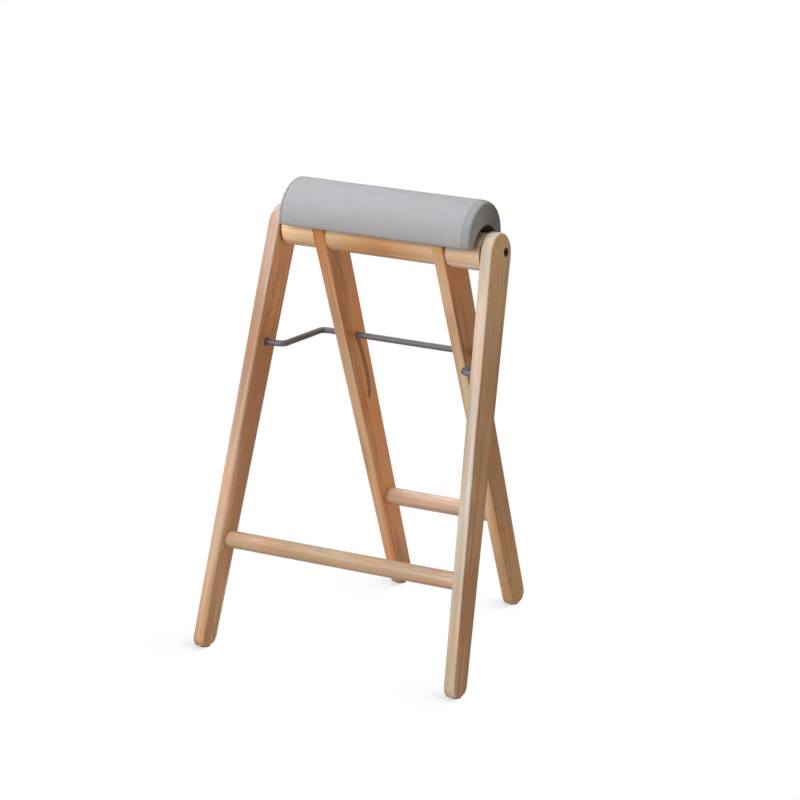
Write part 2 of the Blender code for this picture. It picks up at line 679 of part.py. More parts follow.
def cushion_cover():
    """The fabric sleeve round the roll, lining and all, from seam to seam."""
    end = SEAM_X - GAP / 2
    rings = body_rings(0.0, end) + list(reversed(body_rings(FABRIC, end)))
    cover = add("cushion_cover", loft(rings, closed=True), FABRIC_GREY, (0.0, BAR_Y, ROLL_Z))
    low = PIVOT_HEIGHT + BAR_RADIUS
    high = PIVOT_HEIGHT + SHELL_OUTER
    hole = SCREW_RADIUS + 2 * GAP
    shape(cover, [along_z([(low, hole), (high, hole)], side * CUSHION_SCREW_X, BAR_Y) for side in SIDES.values()])


def cushion_end(name, side):
    """A fabric end panel, sewn on at the seam and gently domed."""
    start = SEAM_X + GAP / 2
    rings = list(reversed(dome_rings(FABRIC, start, side))) + dome_rings(0.0, start, side)
    add(f"cushion_end_{name}", loft(rings), END_GREY, (side * SEAM_X, BAR_Y, ROLL_Z))


def cushion_foam():
    """The foam between the shell and the cover."""
    inset = FABRIC + GAP
    recess = SHELL_OUTER + GAP
    left = dome_rings(inset, SEAM_X, -1, recess)
    right = dome_rings(inset, SEAM_X, 1, recess)
    middle = body_rings(inset, SEAM_X, recess)
    rings = list(reversed(left)) + middle[1:-1] + right
    foam = add("cushion_foam", loft(rings), FOAM, (0.0, BAR_Y, ROLL_Z))
    low = PIVOT_HEIGHT + BAR_RADIUS
    high = PIVOT_HEIGHT + SHELL_OUTER + BOSS_HEIGHT + GAP
    hole = BOSS_RADIUS + GAP
    shape(foam, [along_z([(low, hole), (high, hole)], side * CUSHION_SCREW_X, BAR_Y) for side in SIDES.values()])


def band(inner, outer, start, stop, x_low, x_high):
    """Part of a tube round the bar's middle line."""
    bar = Vector((BAR_Y, PIVOT_HEIGHT))
    outline = arc(bar, outer, start, stop, RECESS_STEPS) + arc(bar, inner, stop, start, RECESS_STEPS)
    return slab(outline, x_low, x_high)


def cushion_shell():
    """The stiff half-round shell that carries the foam, with a screw boss near each end."""
    edge_z = LIP_RISE + FABRIC + GAP + LIP_INNER_CORNER
    start = math.asin(edge_z / SHELL_INNER)
    end = SEAM_X - SHELL_SHORT
    bm = band(SHELL_INNER, SHELL_OUTER, start, math.pi - start, -end, end)
    shell = add("cushion_shell", bm, SHELL_PLASTIC, (0.0, BAR_Y, PIVOT_HEIGHT))
    crown = PIVOT_HEIGHT + SHELL_OUTER
    root = crown - SHELL_THICKNESS / 2
    bosses = [along_z([(root, BOSS_RADIUS), (crown + BOSS_HEIGHT, BOSS_RADIUS)], side * CUSHION_SCREW_X, BAR_Y)
              for side in SIDES.values()]
    shape(shell, bosses, "UNION")
    low = PIVOT_HEIGHT + BAR_RADIUS
    high = crown + CUSHION_SCREW_BITE + GAP
    hole = SCREW_RADIUS + GAP
    shape(shell, [along_z([(low, hole), (high, hole)], side * CUSHION_SCREW_X, BAR_Y) for side in SIDES.values()])


def cushion_fixing(name, side):
    """The cork saddle between bar and cushion, and the screw up through both."""
    x = side * CUSHION_SCREW_X
    start = math.pi / 2 - PAD_HALF_ANGLE
    bm = band(BAR_RADIUS + GAP, RECESS_RADIUS - GAP, start, math.pi - start, x - PAD_WIDTH / 2, x + PAD_WIDTH / 2)
    pad = add(f"cushion_saddle_{name}", bm, CORK, (x, BAR_Y, PIVOT_HEIGHT))
    hole = SCREW_RADIUS + GAP
    shape(pad, [along_z([(PIVOT_HEIGHT, hole), (PIVOT_HEIGHT + SHELL_OUTER, hole)], x, BAR_Y)])
    head_top = PIVOT_HEIGHT - BAR_RADIUS + CUSHION_SCREW_SINK - GAP
    tip = PIVOT_HEIGHT + SHELL_OUTER + CUSHION_SCREW_BITE
    screw = [(head_top - SCREW_HEAD_HEIGHT, SCREW_HEAD_RADIUS), (head_top, SCREW_HEAD_RADIUS),
             (head_top, SCREW_RADIUS), (tip, SCREW_RADIUS)]
    add(f"cushion_screw_{name}", along_z(screw, x, BAR_Y), ZINC, (x, BAR_Y, head_top))


seat_bar()
rung("rear_rung", REAR_INNER, 0.0, REAR_LEAN)
rung("front_rung", FRONT_INNER + splay_at(RUNG_HEIGHT), math.tan(SPLAY), -FRONT_LEAN, FRONT_PIECES)
cushion_shell()
cushion_foam()
cushion_cover()
stay()
for end_name, end_side in SIDES.items():
    rear_leg(end_name, end_side)
    front_leg(end_name, end_side)
    pivot_pieces(end_name, end_side)
    leg_screw(end_name, end_side)
    cushion_fixing(end_name, end_side)
    cushion_end(end_name, end_side)
    front_middle = (FRONT_INNER + FRONT_OUTER) / 2
    rear_middle = (REAR_INNER + REAR_OUTER) / 2
    glide(f"front_glide_{end_name}", foot_place(-FRONT_LEAN, end_side, front_middle), FRONT_PIECES)
    glide(f"rear_glide_{end_name}", foot_place(REAR_LEAN, end_side, rear_middle))
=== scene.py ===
# %% [markdown]
# # A tall folding stool with a padded roll
# The real stool is made of oiled beech. Two legs, a rung and a round bar are glued up into the rear
# frame. Two splayed legs and a rung make the front frame, which swings on a bolt in each end of the
# bar. A bent steel rod stays the two frames, and a grey padded roll sits over the bar.
#
# A solid model with the true sizes is loaded first. This notebook dresses it: boards with grain,
# a stuffed cushion with seams and stitches, and finishes for the metal and plastic parts.

# %% Load the solid model
import json
import math

import bmesh
import bpy
from mathutils import Matrix, Vector, noise
from mathutils.bvhtree import BVHTree


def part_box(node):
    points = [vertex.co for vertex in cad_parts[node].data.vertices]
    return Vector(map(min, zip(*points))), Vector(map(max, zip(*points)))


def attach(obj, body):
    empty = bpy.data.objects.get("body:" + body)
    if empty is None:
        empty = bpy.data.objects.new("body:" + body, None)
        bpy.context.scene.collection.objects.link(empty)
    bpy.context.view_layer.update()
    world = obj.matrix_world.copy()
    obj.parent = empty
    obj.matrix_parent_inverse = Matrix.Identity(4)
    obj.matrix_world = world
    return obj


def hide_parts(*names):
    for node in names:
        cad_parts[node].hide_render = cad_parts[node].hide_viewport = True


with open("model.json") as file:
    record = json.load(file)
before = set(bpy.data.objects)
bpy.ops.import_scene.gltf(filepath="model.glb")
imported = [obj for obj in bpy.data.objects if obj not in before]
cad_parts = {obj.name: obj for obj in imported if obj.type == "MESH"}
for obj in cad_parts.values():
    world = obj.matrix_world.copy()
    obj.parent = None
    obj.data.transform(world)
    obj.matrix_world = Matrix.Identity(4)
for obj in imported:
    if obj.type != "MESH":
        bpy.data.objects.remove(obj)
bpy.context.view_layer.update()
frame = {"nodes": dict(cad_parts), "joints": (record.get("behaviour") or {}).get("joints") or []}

scene = bpy.context.scene


def placed(name, data):
    """A new object in the scene."""
    made = bpy.data.objects.new(name, data)
    scene.collection.objects.link(made)
    return made


print("solids:", len(frame["nodes"]))

# %% [markdown]
# ## Camera
# A product photographer stands well back with a long lens, so that upright legs stay nearly
# parallel. The camera is placed by its turn round the stool, its height above the horizon and its
# distance, and these three give the axes of its matrix. That keeps the view easy to change, which
# a typed rotation would not.

# %% Camera
TURN_ROUND = 0.51149  # radians, from straight in front towards the right
LOOK_DOWN = 0.28791
TILT = 0.00316
DISTANCE = 5.6633
LENS = 159.26  # millimetres, on a 36 mm sensor
AIM = Vector((0.0, -0.0086, 0.3315))
SHIFT_RIGHT = 0.01252  # of the camera, so that the stool stands left of the middle
SHIFT_UP = 0.05947
FAR_CLIP = 60.0

camera_right = Vector((math.cos(TURN_ROUND), math.sin(TURN_ROUND), 0.0))
camera_back = Vector((math.sin(TURN_ROUND) * math.cos(LOOK_DOWN),
                      -math.cos(TURN_ROUND) * math.cos(LOOK_DOWN), math.sin(LOOK_DOWN)))
camera_up = camera_back.cross(camera_right)
camera_place = AIM + camera_right * SHIFT_RIGHT + camera_up * SHIFT_UP + camera_back * DISTANCE
camera_axes = Matrix((camera_right, camera_up, camera_back)).transposed().to_4x4()

camera = placed("camera", bpy.data.cameras.new("camera"))
camera.data.lens = LENS
camera.data.clip_end = FAR_CLIP
camera.matrix_world = Matrix.Translation(camera_place) @ camera_axes @ Matrix.Rotation(TILT, 4, "Z")
scene.camera = camera
scene.view_settings.view_transform = "Standard"
print("camera at", [round(value, 3) for value in camera_place])

# %% [markdown]
# ## Building node trees
# Every finish below is a small tree of nodes. A few helpers keep that readable. One adds a node and
# fills or links its inputs in one go, and short names stand for sums, products and vectors, which
# go into the tree that their inputs come from. Others start a material, or a group with named
# sockets, so that an effect such as grain is built once and placed in each material with its own
# values.

# %% Helpers for node trees
WHITE = (1.0, 1.0, 1.0, 1.0)
FLOAT, WHOLE, VECTOR, COLOUR, GEOMETRY, MATERIAL = (
    "NodeSocket" + kind for kind in ("Float", "Int", "Vector", "Color", "Geometry", "Material"))


def fill(node, inputs):
    """Give each named input of a node a value, or a link to a socket."""
    for key, value in inputs.items():
        if isinstance(value, bpy.types.NodeSocket):
            node.id_data.links.new(value, node.inputs[key])
        else:
            node.inputs[key].default_value = value


def put(tree, kind, inputs=None, **settings):
    """Add a node, set its properties, fill its inputs and give its outputs."""
    node = tree.nodes.new(kind)
    for name, value in settings.items():
        setattr(node, name, value)
    fill(node, inputs or {})
    return node.outputs


def follow(kind, inputs, **settings):
    """Add a node in the same way, to the tree that its inputs come from."""
    sockets = [value for value in inputs.values() if isinstance(value, bpy.types.NodeSocket)]
    return put(sockets[0].id_data, kind, inputs, **settings)


def maths(operation, *values):
    """A Math node's result."""
    return follow("ShaderNodeMath", dict(enumerate(values)), operation=operation)[0]


def plus(first, second):
    """The sum of two values."""
    return maths("ADD", first, second)


def minus(first, second):
    """The first value less the second."""
    return maths("SUBTRACT", first, second)


def times(first, second):
    """The product of two values."""
    return maths("MULTIPLY", first, second)


def vector_maths(operation, *values):
    """A Vector Math node's vector."""
    return follow("ShaderNodeVectorMath", dict(enumerate(values)), operation=operation)[0]


def stretched(vector, factors):
    """A vector or colour, each part times its own factor."""
    return vector_maths("MULTIPLY", vector, factors)


def scaled(vector, factor):
    """A vector times one value."""
    return follow("ShaderNodeVectorMath", {0: vector, "Scale": factor}, operation="SCALE")[0]


def length_of(vector):
    """A vector's length."""
    return follow("ShaderNodeVectorMath", {0: vector}, operation="LENGTH")["Value"]


def vector_of(tree, x=0.0, y=0.0, z=0.0):
    """A vector from its three parts."""
    return put(tree, "ShaderNodeCombineXYZ", {0: x, 1: y, 2: z})[0]


def parts_of(vector):
    """A vector's X, Y and Z."""
    return follow("ShaderNodeSeparateXYZ", {0: vector})


def ramp(value, low, high, start=0.0, stop=1.0):
    """Map a value smoothly from low..high to start..stop."""
    inputs = {"Value": value, "From Min": low, "From Max": high, "To Min": start, "To Max": stop}
    return follow("ShaderNodeMapRange", inputs, interpolation_type="SMOOTHSTEP")[0]


def mixed(share, first, second):
    """Two colours mixed by a share."""
    return follow("ShaderNodeMix", {0: share, 6: first, 7: second}, data_type="RGBA")[2]


def clouds(place, scale=1.0, detail=2.0):
    """Soft noise from 0 to 1."""
    return follow("ShaderNodeTexNoise", {"Vector": place, "Scale": scale, "Detail": detail})[0]


def raised(height, strength, depth, **settings):
    """The normal of a surface with a fine relief."""
    return follow("ShaderNodeBump", {"Height": height, "Strength": strength, "Distance": depth},
                  **settings)[0]


def new_material(name):
    """Start a material; give it, its tree, its shader and the place on the object."""
    made = bpy.data.materials.new(name)
    made.use_nodes = True
    tree = made.node_tree
    return made, tree, tree.nodes["Principled BSDF"], put(tree, "ShaderNodeTexCoord")["Object"]


def new_tree(name, inputs, outputs, kind="ShaderNodeTree"):
    """Start a node group with named inputs and outputs."""
    tree = bpy.data.node_groups.new(name, kind)
    for label, socket, value in inputs:
        made = tree.interface.new_socket(name=label, in_out="INPUT", socket_type=socket)
        if value is not None:
            made.default_value = value
    for label, socket in outputs:
        tree.interface.new_socket(name=label, in_out="OUTPUT", socket_type=socket)
    return tree, tree.nodes.new("NodeGroupInput").outputs, tree.nodes.new("NodeGroupOutput")


def finish_with(end, results):
    """Link a group's results to its output."""
    fill(end, results)
    print(end.id_data.name, "has", len(end.id_data.nodes), "nodes")


def seen_by_camera(tree):
    """1 for rays from the camera, mirrored ones and ones through glass too, and 0 for all others."""
    ray = put(tree, "ShaderNodeLightPath")
    seen = maths("MAXIMUM", ray["Is Camera Ray"], ray["Is Transmission Ray"])
    return maths("MAXIMUM", seen, ray["Is Glossy Ray"])


print("helpers for node trees are ready")

# %% [markdown]
# ## Floor and light
# Broad faces that look forwards are bright and the ones that look sideways are dim and warm, so the
# stool was lit by a large soft source from the front and a little to the left, with a weak warm
# room round it. The roll is lightest near its top, so a second soft source hung over it. Two area
# lamps and a plain world do the same, at a level at which a colour renders about as it is written.
# The stool sees a pale warm floor. The camera sees it white, with one faint painted shadow beside each
# foot: Ambient Occlusion finds what stands close, and its normal leans to the right, so that only the
# ground on the left of a foot is painted darker.

# %% World
ROOM_LIGHT = 0.34
ROOM_TINT = (1.0, 0.90, 0.76, 1.0)

world = bpy.data.worlds.new("pale_room")
scene.world = world
world.use_nodes = True
world_tree = world.node_tree
world_tree.nodes.clear()
seen = seen_by_camera(world_tree)
background = follow("ShaderNodeBackground", {"Color": mixed(seen, ROOM_TINT, WHITE),
                                             "Strength": ramp(seen, 0.0, 1.0, ROOM_LIGHT, 1.0)})
follow("ShaderNodeOutputWorld", {"Surface": background[0]})
print("world lights at", ROOM_LIGHT)

# %% Lamps
def soft_lamp(name, way, distance, size, level, colour):
    """A round area lamp that looks at the stool; level is the shade it gives to white card."""
    data = bpy.data.lights.new(name, "AREA")
    data.shape = "DISK"
    data.size = size
    data.color = colour
    data.energy = level * (math.pi * distance) ** 2
    lamp = placed(name, data)
    towards = Vector(way).normalized()
    lamp.location = AIM + towards * distance
    lamp.rotation_mode = "QUATERNION"
    lamp.rotation_quaternion = (-towards).to_track_quat("-Z", "Y")
    print(name, "has", round(data.energy, 1), "W")


soft_lamp("window_in_front", (-0.19, -0.88, 0.42), 3.4, 2.0, 0.60, (0.98, 0.985, 1.0))
soft_lamp("panel_above", (-0.25, 0.05, 0.96), 3.0, 1.8, 0.50, (1.0, 1.0, 1.0))

# %% Floor
FLOOR_HALF = 14.0
FLOOR_BOUNCE = (0.45, 0.385, 0.30, 1.0)  # what the stool sees
# Painted shadow: the floor's colour where a foot hides everything
PAINTED_FOOT_SHADOW = (0.58, 0.60, 0.62, 1.0)  # where a foot hides everything
FOOT_SHADOW_REACH = 0.12
FOOT_SHADOW_LEAN = (0.62, 0.35, 0.70)
FOOT_SHADOW_SAMPLES = 16

floor_material = bpy.data.materials.new("pale_floor")
floor_material.use_nodes = True
floor_tree = floor_material.node_tree
floor_tree.nodes.clear()
lean = vector_of(floor_tree, *FOOT_SHADOW_LEAN)
openness = follow("ShaderNodeAmbientOcclusion", {"Distance": FOOT_SHADOW_REACH, "Normal": lean},
                  samples=FOOT_SHADOW_SAMPLES)["AO"]
# The painted shadow darkens the floor's white where Ambient Occlusion finds a foot close by
floor_colour_with_painted_shadow = mixed(ramp(openness, 0.0, 0.96), PAINTED_FOOT_SHADOW, WHITE)
shown = follow("ShaderNodeEmission", {"Color": floor_colour_with_painted_shadow, "Strength": 1.0})[0]
plain = put(floor_tree, "ShaderNodeBsdfDiffuse", {"Color": FLOOR_BOUNCE})[0]
either = follow("ShaderNodeMixShader", {0: seen_by_camera(floor_tree), 1: plain, 2: shown})[0]
follow("ShaderNodeOutputMaterial", {"Surface": either})

floor_mesh = bpy.data.meshes.new("floor")
corners = [(x * FLOOR_HALF, y * FLOOR_HALF, 0.0) for x, y in ((-1, -1), (1, -1), (1, 1), (-1, 1))]
floor_mesh.from_pydata(corners, [], [(0, 1, 2, 3)])
floor_mesh.materials.append(floor_material)
floor = placed("floor", floor_mesh)
print("floor is", 2 * FLOOR_HALF, "m wide")

# %% [markdown]
# ## Grain of the beech
# Beech is a pale, even wood. Its growth rings show as quiet lines along a board, and it is covered
# with short darker flecks. A picture of wood would wrap badly round the rounded arrises, so the
# grain is solid: the colour is worked out at each point inside the board, and every cut through it
# shows the right figure, end grain included. The group reads a place measured from the middle of
# the board, in metres, with Z along the grain.

# %% Group: beech grain
# How often each figure repeats in a metre, twice across the board and once along it
WANDER = (9.0, 9.0, 2.6)  # of the rings, which are never quite round
PATCHES = (14.0, 14.0, 3.6)
MINERALS = (34.0, 34.0, 11.0)  # redder and greener zones
STREAKS = (150.0, 150.0, 2.4)
CELLS = (430.0, 430.0, 78.0)  # the short dark flecks
FIBRES = (1100.0, 1100.0, 22.0)
LOG_STEP = (0.37, 0.23, 1.31)  # in the log, from one board number to the next
FROM_PITH = (0.052, 0.021)  # across the board, from the tree's middle to the board's
CUT_BAND = 0.0180  # half width of the band of a board that its slot and bolt hole lie in
CUT_REACH = 0.337  # and half its length

grain, given, end = new_tree("beech_grain", [
    ("Place in board", VECTOR, None),
    # The lit face wood is a board's front as the lamps light it; the shaded side wood paints the warm shade
    # on its sides
    ("Lit face wood", COLOUR, (0.64, 0.42, 0.27, 1.0)),
    ("Shaded side wood", COLOUR, (0.64, 0.38, 0.20, 1.0)),
    ("Side share", FLOAT, 0.0),
    ("Half thickness", FLOAT, 0.010),
    ("Painted recess shade", FLOAT, 0.0),
    ("Ring width", FLOAT, 0.0032),
    ("Ring strength", FLOAT, 0.3),
    ("Fleck strength", FLOAT, 0.4),
    ("Board number", FLOAT, 0.0),
], [("Colour", COLOUR), ("Roughness", FLOAT), ("Height", FLOAT)])

place = given["Place in board"]
shift = vector_of(grain, *[times(given["Board number"], step) for step in LOG_STEP])
log_place = vector_maths("ADD", place, shift)
wander = times(minus(clouds(stretched(log_place, WANDER)), 0.5), 0.05)
pith_side = times(maths("SINE", given["Board number"]), 0.03)
from_pith = vector_of(grain, plus(FROM_PITH[0], pith_side), plus(wander, FROM_PITH[1]))
radius = length_of(vector_maths("ADD", stretched(place, (1.0, 1.0, 0.0)), from_pith))
ring = maths("FRACT", maths("DIVIDE", plus(radius, wander), given["Ring width"]))
late = times(ramp(ring, 0.35, 0.90), ramp(ring, 0.90, 1.0, 1.0, 0.0))

patches, minerals = (clouds(stretched(log_place, figure)) for figure in (PATCHES, MINERALS))
streaks, fibres = (clouds(stretched(log_place, figure), detail=3.0) for figure in (STREAKS, FIBRES))
cells = follow("ShaderNodeTexVoronoi", {"Vector": stretched(log_place, CELLS), "Scale": 1.0})
flecks = ramp(cells["Distance"], 0.10, 0.20, 1.0, 0.0)

mean_wood = mixed(given["Side share"], given["Lit face wood"], given["Shaded side wood"])
redder, greener = (stretched(mean_wood, share) for share in ((1.05, 0.98, 0.92), (0.95, 1.02, 1.05)))
tinted_wood = mixed(ramp(minerals, 0.38, 0.62), redder, greener)
pale, tan, dark = (stretched(tinted_wood, share)
                   for share in ((1.15, 1.18, 1.22), (0.77, 0.68, 0.59), (0.50, 0.37, 0.29)))
toned = plus(times(patches, 0.6), times(streaks, 0.4))
swing = maths("MULTIPLY_ADD", given["Side share"], 1.3, 1.0)
toned = maths("MULTIPLY_ADD", minus(toned, 0.5), swing, 0.5)
wood = mixed(ramp(toned, 0.38, 0.64), pale, tan)
for shown, strength in ((late, given["Ring strength"]), (ramp(fibres, 0.45, 0.8), 0.22),
                        (flecks, given["Fleck strength"])):
    wood = mixed(times(shown, strength), wood, dark)

through, across, along = (maths("ABSOLUTE", part) for part in parts_of(place))
# Painted shade inside the slots and bolt holes that are cut through a board
inside = times(ramp(minus(given["Half thickness"], through), 0.0004, 0.0016),
               ramp(across, CUT_BAND, CUT_BAND + 0.001, 1.0, 0.0))
inside = times(times(inside, maths("LESS_THAN", along, CUT_REACH)), given["Painted recess shade"])
wood = mixed(inside, wood, stretched(mean_wood, (0.55, 0.33, 0.18)))

surface = minus(minus(times(fibres, 0.7), times(flecks, 0.5)), times(late, 0.25))
roughness = ramp(plus(times(streaks, 0.5), flecks), 0.1, 1.0, 0.44, 0.60)
finish_with(end, {"Colour": wood, "Roughness": roughness, "Height": surface})

# %% [markdown]
# ## A finish for each board
# No two boards come from the same place in the tree. Each wooden piece therefore gets its own
# material from one recipe: the shared grain group, turned by a Mapping node so that its Z runs
# along the board. Its colours are given at even places from the lower or left end to the other, and a
# Color Ramp blends them: partly the wood's own drifting tone, partly painted light and shade, such as
# the bar's darker middle in the shade of the roll. A board has two rows of colours and a round piece has
# one: a paler row for a front as the lamps light it, and a redder, darker row that paints the shade on
# its sides. Which row shows comes from the mesh: its attribute `sideways` says how far a surface looks
# to the left or right. Slots and bolt holes are painted darker inside, as shade, and a painted shadow
# rings each bolt hole. The bar's ends are darker, as end grain takes more oil and as painted shade in the
# gap beside each leg. The oil leaves a dull satin sheen, and the feet darken slightly where shoes rub.

# %% Wood materials
ALONG_X = (0.0, math.pi / 2, 0.0)
BOARD_HALF = 0.010  # half of a leg's thickness
SHOE_MARK = (0.30, 0.20, 0.13, 1.0)
SHOE_HEIGHT = 0.07
END_GRAIN_AND_GAP_SHADE = (0.20, 0.11, 0.05, 1.0)
END_DEPTH = 0.0018  # how far the ends darken: end grain takes more oil, and painted shade fills the gap by the leg
PAINTED_RIM_SHADOW = (0.07, 0.035, 0.018, 1.0)  # painted shadow round a bolt's recess
RIM_START, RIM_STOP = 0.0004, 0.0012  # from a bolt's head: the painted shadow fades between these


def middle_of(node):
    """The middle of a solid's box."""
    low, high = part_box(node)
    return (low + high) / 2


bolt_low, bolt_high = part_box("pivot_bolt_right")
HOLE_RADIUS = (bolt_high.z - bolt_low.z) / 2
bolt_middle = middle_of("pivot_bolt_right")
bar_middle = middle_of("seat_bar")


def drifting(along, half, colours):
    """A colour that drifts along a board, from its lower or left end to the other."""
    colour = follow("ShaderNodeValToRGB", {0: maths("MULTIPLY_ADD", along, 0.5 / half, 0.5)})[0]
    stops = colour.node.color_ramp.elements
    while len(stops) < len(colours):
        stops.new(0.5)
    for i, stop_colour in enumerate(colours):
        stops[i].position = i / (len(colours) - 1)
        stops[i].color = (*stop_colour, 1.0)
    return colour


def beech(name, middle, turn, number, half, face, side=None, ring_width=0.0032,
          recess_shade=0.0, rim_shadow=0.0, ends_oil_and_shade=0.0):
    """An oiled beech finish for one board, whose length is Z turned by three angles."""
    made, tree, shader, place = new_material(name)
    board = follow("ShaderNodeMapping", {"Vector": place, "Location": middle, "Rotation": turn},
                   vector_type="TEXTURE")[0]
    along = parts_of(board)[2]
    sideways = put(tree, "ShaderNodeAttribute", attribute_name="sideways")["Fac"]
    figure = put(tree, "ShaderNodeGroup", {
        "Place in board": board, "Board number": number, "Painted recess shade": recess_shade,
        "Lit face wood": drifting(along, half, face), "Shaded side wood": drifting(along, half, side or face),
        "Side share": ramp(sideways, 0.55, 0.85), "Half thickness": BOARD_HALF,
        "Ring width": ring_width, "Ring strength": 0.30, "Fleck strength": 0.36}, node_tree=grain)
    rubbed = times(ramp(parts_of(place)[2], 0.0, SHOE_HEIGHT, 1.0, 0.0), ramp(clouds(place, 55.0), 0.4, 0.7))
    colour = mixed(times(rubbed, 0.25), figure["Colour"], SHOE_MARK)
    # Darker bar ends: end grain that takes more oil, and painted shade in the gap beside each leg
    ends = ramp(maths("ABSOLUTE", along), half - END_DEPTH, half - END_DEPTH / 2, 0.0, ends_oil_and_shade)
    colour = mixed(ends, colour, END_GRAIN_AND_GAP_SHADE)
    # A painted shadow round the bolt's recess
    around = stretched(vector_maths("SUBTRACT", place, bolt_middle), (0.0, 1.0, 1.0))
    rim = ramp(length_of(around), HOLE_RADIUS + RIM_START, HOLE_RADIUS + RIM_STOP, rim_shadow, 0.0)
    fill(shader, {"Base Color": mixed(rim, colour, PAINTED_RIM_SHADOW), "Roughness": figure["Roughness"],
                  "Normal": raised(figure["Height"], 0.25, 0.0003), "Specular IOR Level": 0.3})
    return made


print("wood finishes have", len(grain.nodes), "nodes in their group")

# %% [markdown]
# ## Marks on metal and plastic
# Moulded and coated parts are never quite smooth: the surface has a fine skin, like orange peel,
# and picks up faint scuffs. One group makes both from a place and a grain size, and the steel,
# zinc, nylon, shell and thread finishes all use it with their own values.

# %% Group: surface marks
marks, given, end = new_tree("surface_marks", [
    ("Place", VECTOR, None),
    ("Grain size", FLOAT, 0.0006),
    ("Scuff length", FLOAT, 0.02),
], [("Height", FLOAT), ("Grain", FLOAT), ("Scuffs", FLOAT)])
skin = clouds(given["Place"], maths("DIVIDE", 1.0, given["Grain size"]))
scuff_scale = maths("DIVIDE", 1.0, given["Scuff length"])
scratches = clouds(stretched(given["Place"], (1.0, 9.0, 9.0)), scuff_scale, 4.0)
blotches = clouds(given["Place"], scuff_scale)
scuffed = times(ramp(scratches, 0.60, 0.72), ramp(blotches, 0.45, 0.75))
finish_with(end, {"Height": minus(skin, times(scuffed, 0.4)), "Grain": skin, "Scuffs": scuffed})


# %% Metal and plastic materials
def coated(name, colour, worn, roughness, metallic, grain_size, bump, scuff_length=0.02):
    """A finish with fine grain, scuffs of a second colour and a roughness that follows them."""
    made, _, shader, place = new_material(name)
    height, speckles, scuffs = follow("ShaderNodeGroup", {
        "Place": place, "Grain size": grain_size, "Scuff length": scuff_length}, node_tree=marks)
    darker = [share * 0.72 for share in colour]
    speckled = mixed(ramp(speckles, 0.35, 0.65, 0.0, 0.35), (*colour, 1.0), (*darker, 1.0))
    fill(shader, {"Base Color": mixed(times(scuffs, 0.5), speckled, (*worn, 1.0)), "Metallic": metallic,
                  "Roughness": plus(roughness, times(scuffs, 0.2)), "Normal": raised(height, bump, 0.0002)})
    return made


STEEL = coated("grey_coated_steel", (0.15, 0.15, 0.165), (0.30, 0.30, 0.32), 0.48, 0.25, 0.0007, 0.18)
BLACK_STEEL = coated("black_steel", (0.030, 0.016, 0.010), (0.10, 0.05, 0.03), 0.60, 0.3, 0.0004, 0.1)
ZINC = coated("zinc", (0.55, 0.55, 0.53), (0.38, 0.37, 0.34), 0.34, 1.0, 0.0008, 0.1)
NYLON = coated("dark_nylon", (0.045, 0.045, 0.05), (0.12, 0.12, 0.12), 0.52, 0.0, 0.0005, 0.15)
BROWN_NYLON = coated("brown_nylon", (0.085, 0.06, 0.045), (0.16, 0.13, 0.11), 0.52, 0.0, 0.0005, 0.15)
SHELL = coated("black_shell", (0.035, 0.035, 0.035), (0.09, 0.09, 0.09), 0.55, 0.0, 0.0012, 0.3)
hard_finishes = (STEEL, BLACK_STEEL, ZINC, NYLON, BROWN_NYLON, SHELL)
print("metal and plastic finishes:", ", ".join(finish.name for finish in hard_finishes))


# %% Cork material
# Granules of bark, pressed together: a cell texture gives each its own brown
CORK, _, shader, place = new_material("cork")
granule = follow("ShaderNodeTexVoronoi", {"Vector": place, "Scale": 620.0})
tone = follow("ShaderNodeSeparateColor", {0: granule["Color"]})[0]
fill(shader, {"Base Color": mixed(tone, (0.50, 0.31, 0.17, 1.0), (0.27, 0.14, 0.07, 1.0)),
              "Normal": raised(granule["Distance"], 0.5, 0.0004, invert=True), "Roughness": 0.88})
print("made", CORK.name)

# %% [markdown]
# ## Boards with eased arrises
# A joiner breaks every sharp edge with a pass of sandpaper, holes and slots included. The boards
# take their shape from the solids: a copy is merged and cleaned, its sharp edges get a small
# Bevel, and Weighted Normal keeps the broad faces flat to the light. Modelling the boards again
# from nothing would only risk leaving the true sizes. Each mesh also stores how far its surfaces
# look sideways, which the wood finishes read.

# %% Helpers for pieces
MERGE_DISTANCE = 2e-6  # points that lie nearer are one
FLAT_ANGLE = math.radians(0.5)  # facets that turn by less are one face
SHARP_ANGLE = math.radians(38)


def own(mesh, name, body, slot, *nodes):
    """Make a finished mesh a piece that rides on a body and stands for solids."""
    piece = placed(name, mesh)
    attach(piece, body)
    if nodes:
        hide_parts(*nodes)
    return piece


def plain_mesh(piece, name):
    """The mesh that a piece's modifiers give, with the modifiers gone."""
    bpy.context.view_layer.update()
    graph = bpy.context.evaluated_depsgraph_get()
    mesh = bpy.data.meshes.new_from_object(piece.evaluated_get(graph), preserve_all_data_layers=True,
                                           depsgraph=graph)
    mesh.name = name
    old = piece.data
    bpy.data.objects.remove(piece, do_unlink=True)
    bpy.data.meshes.remove(old)
    return mesh


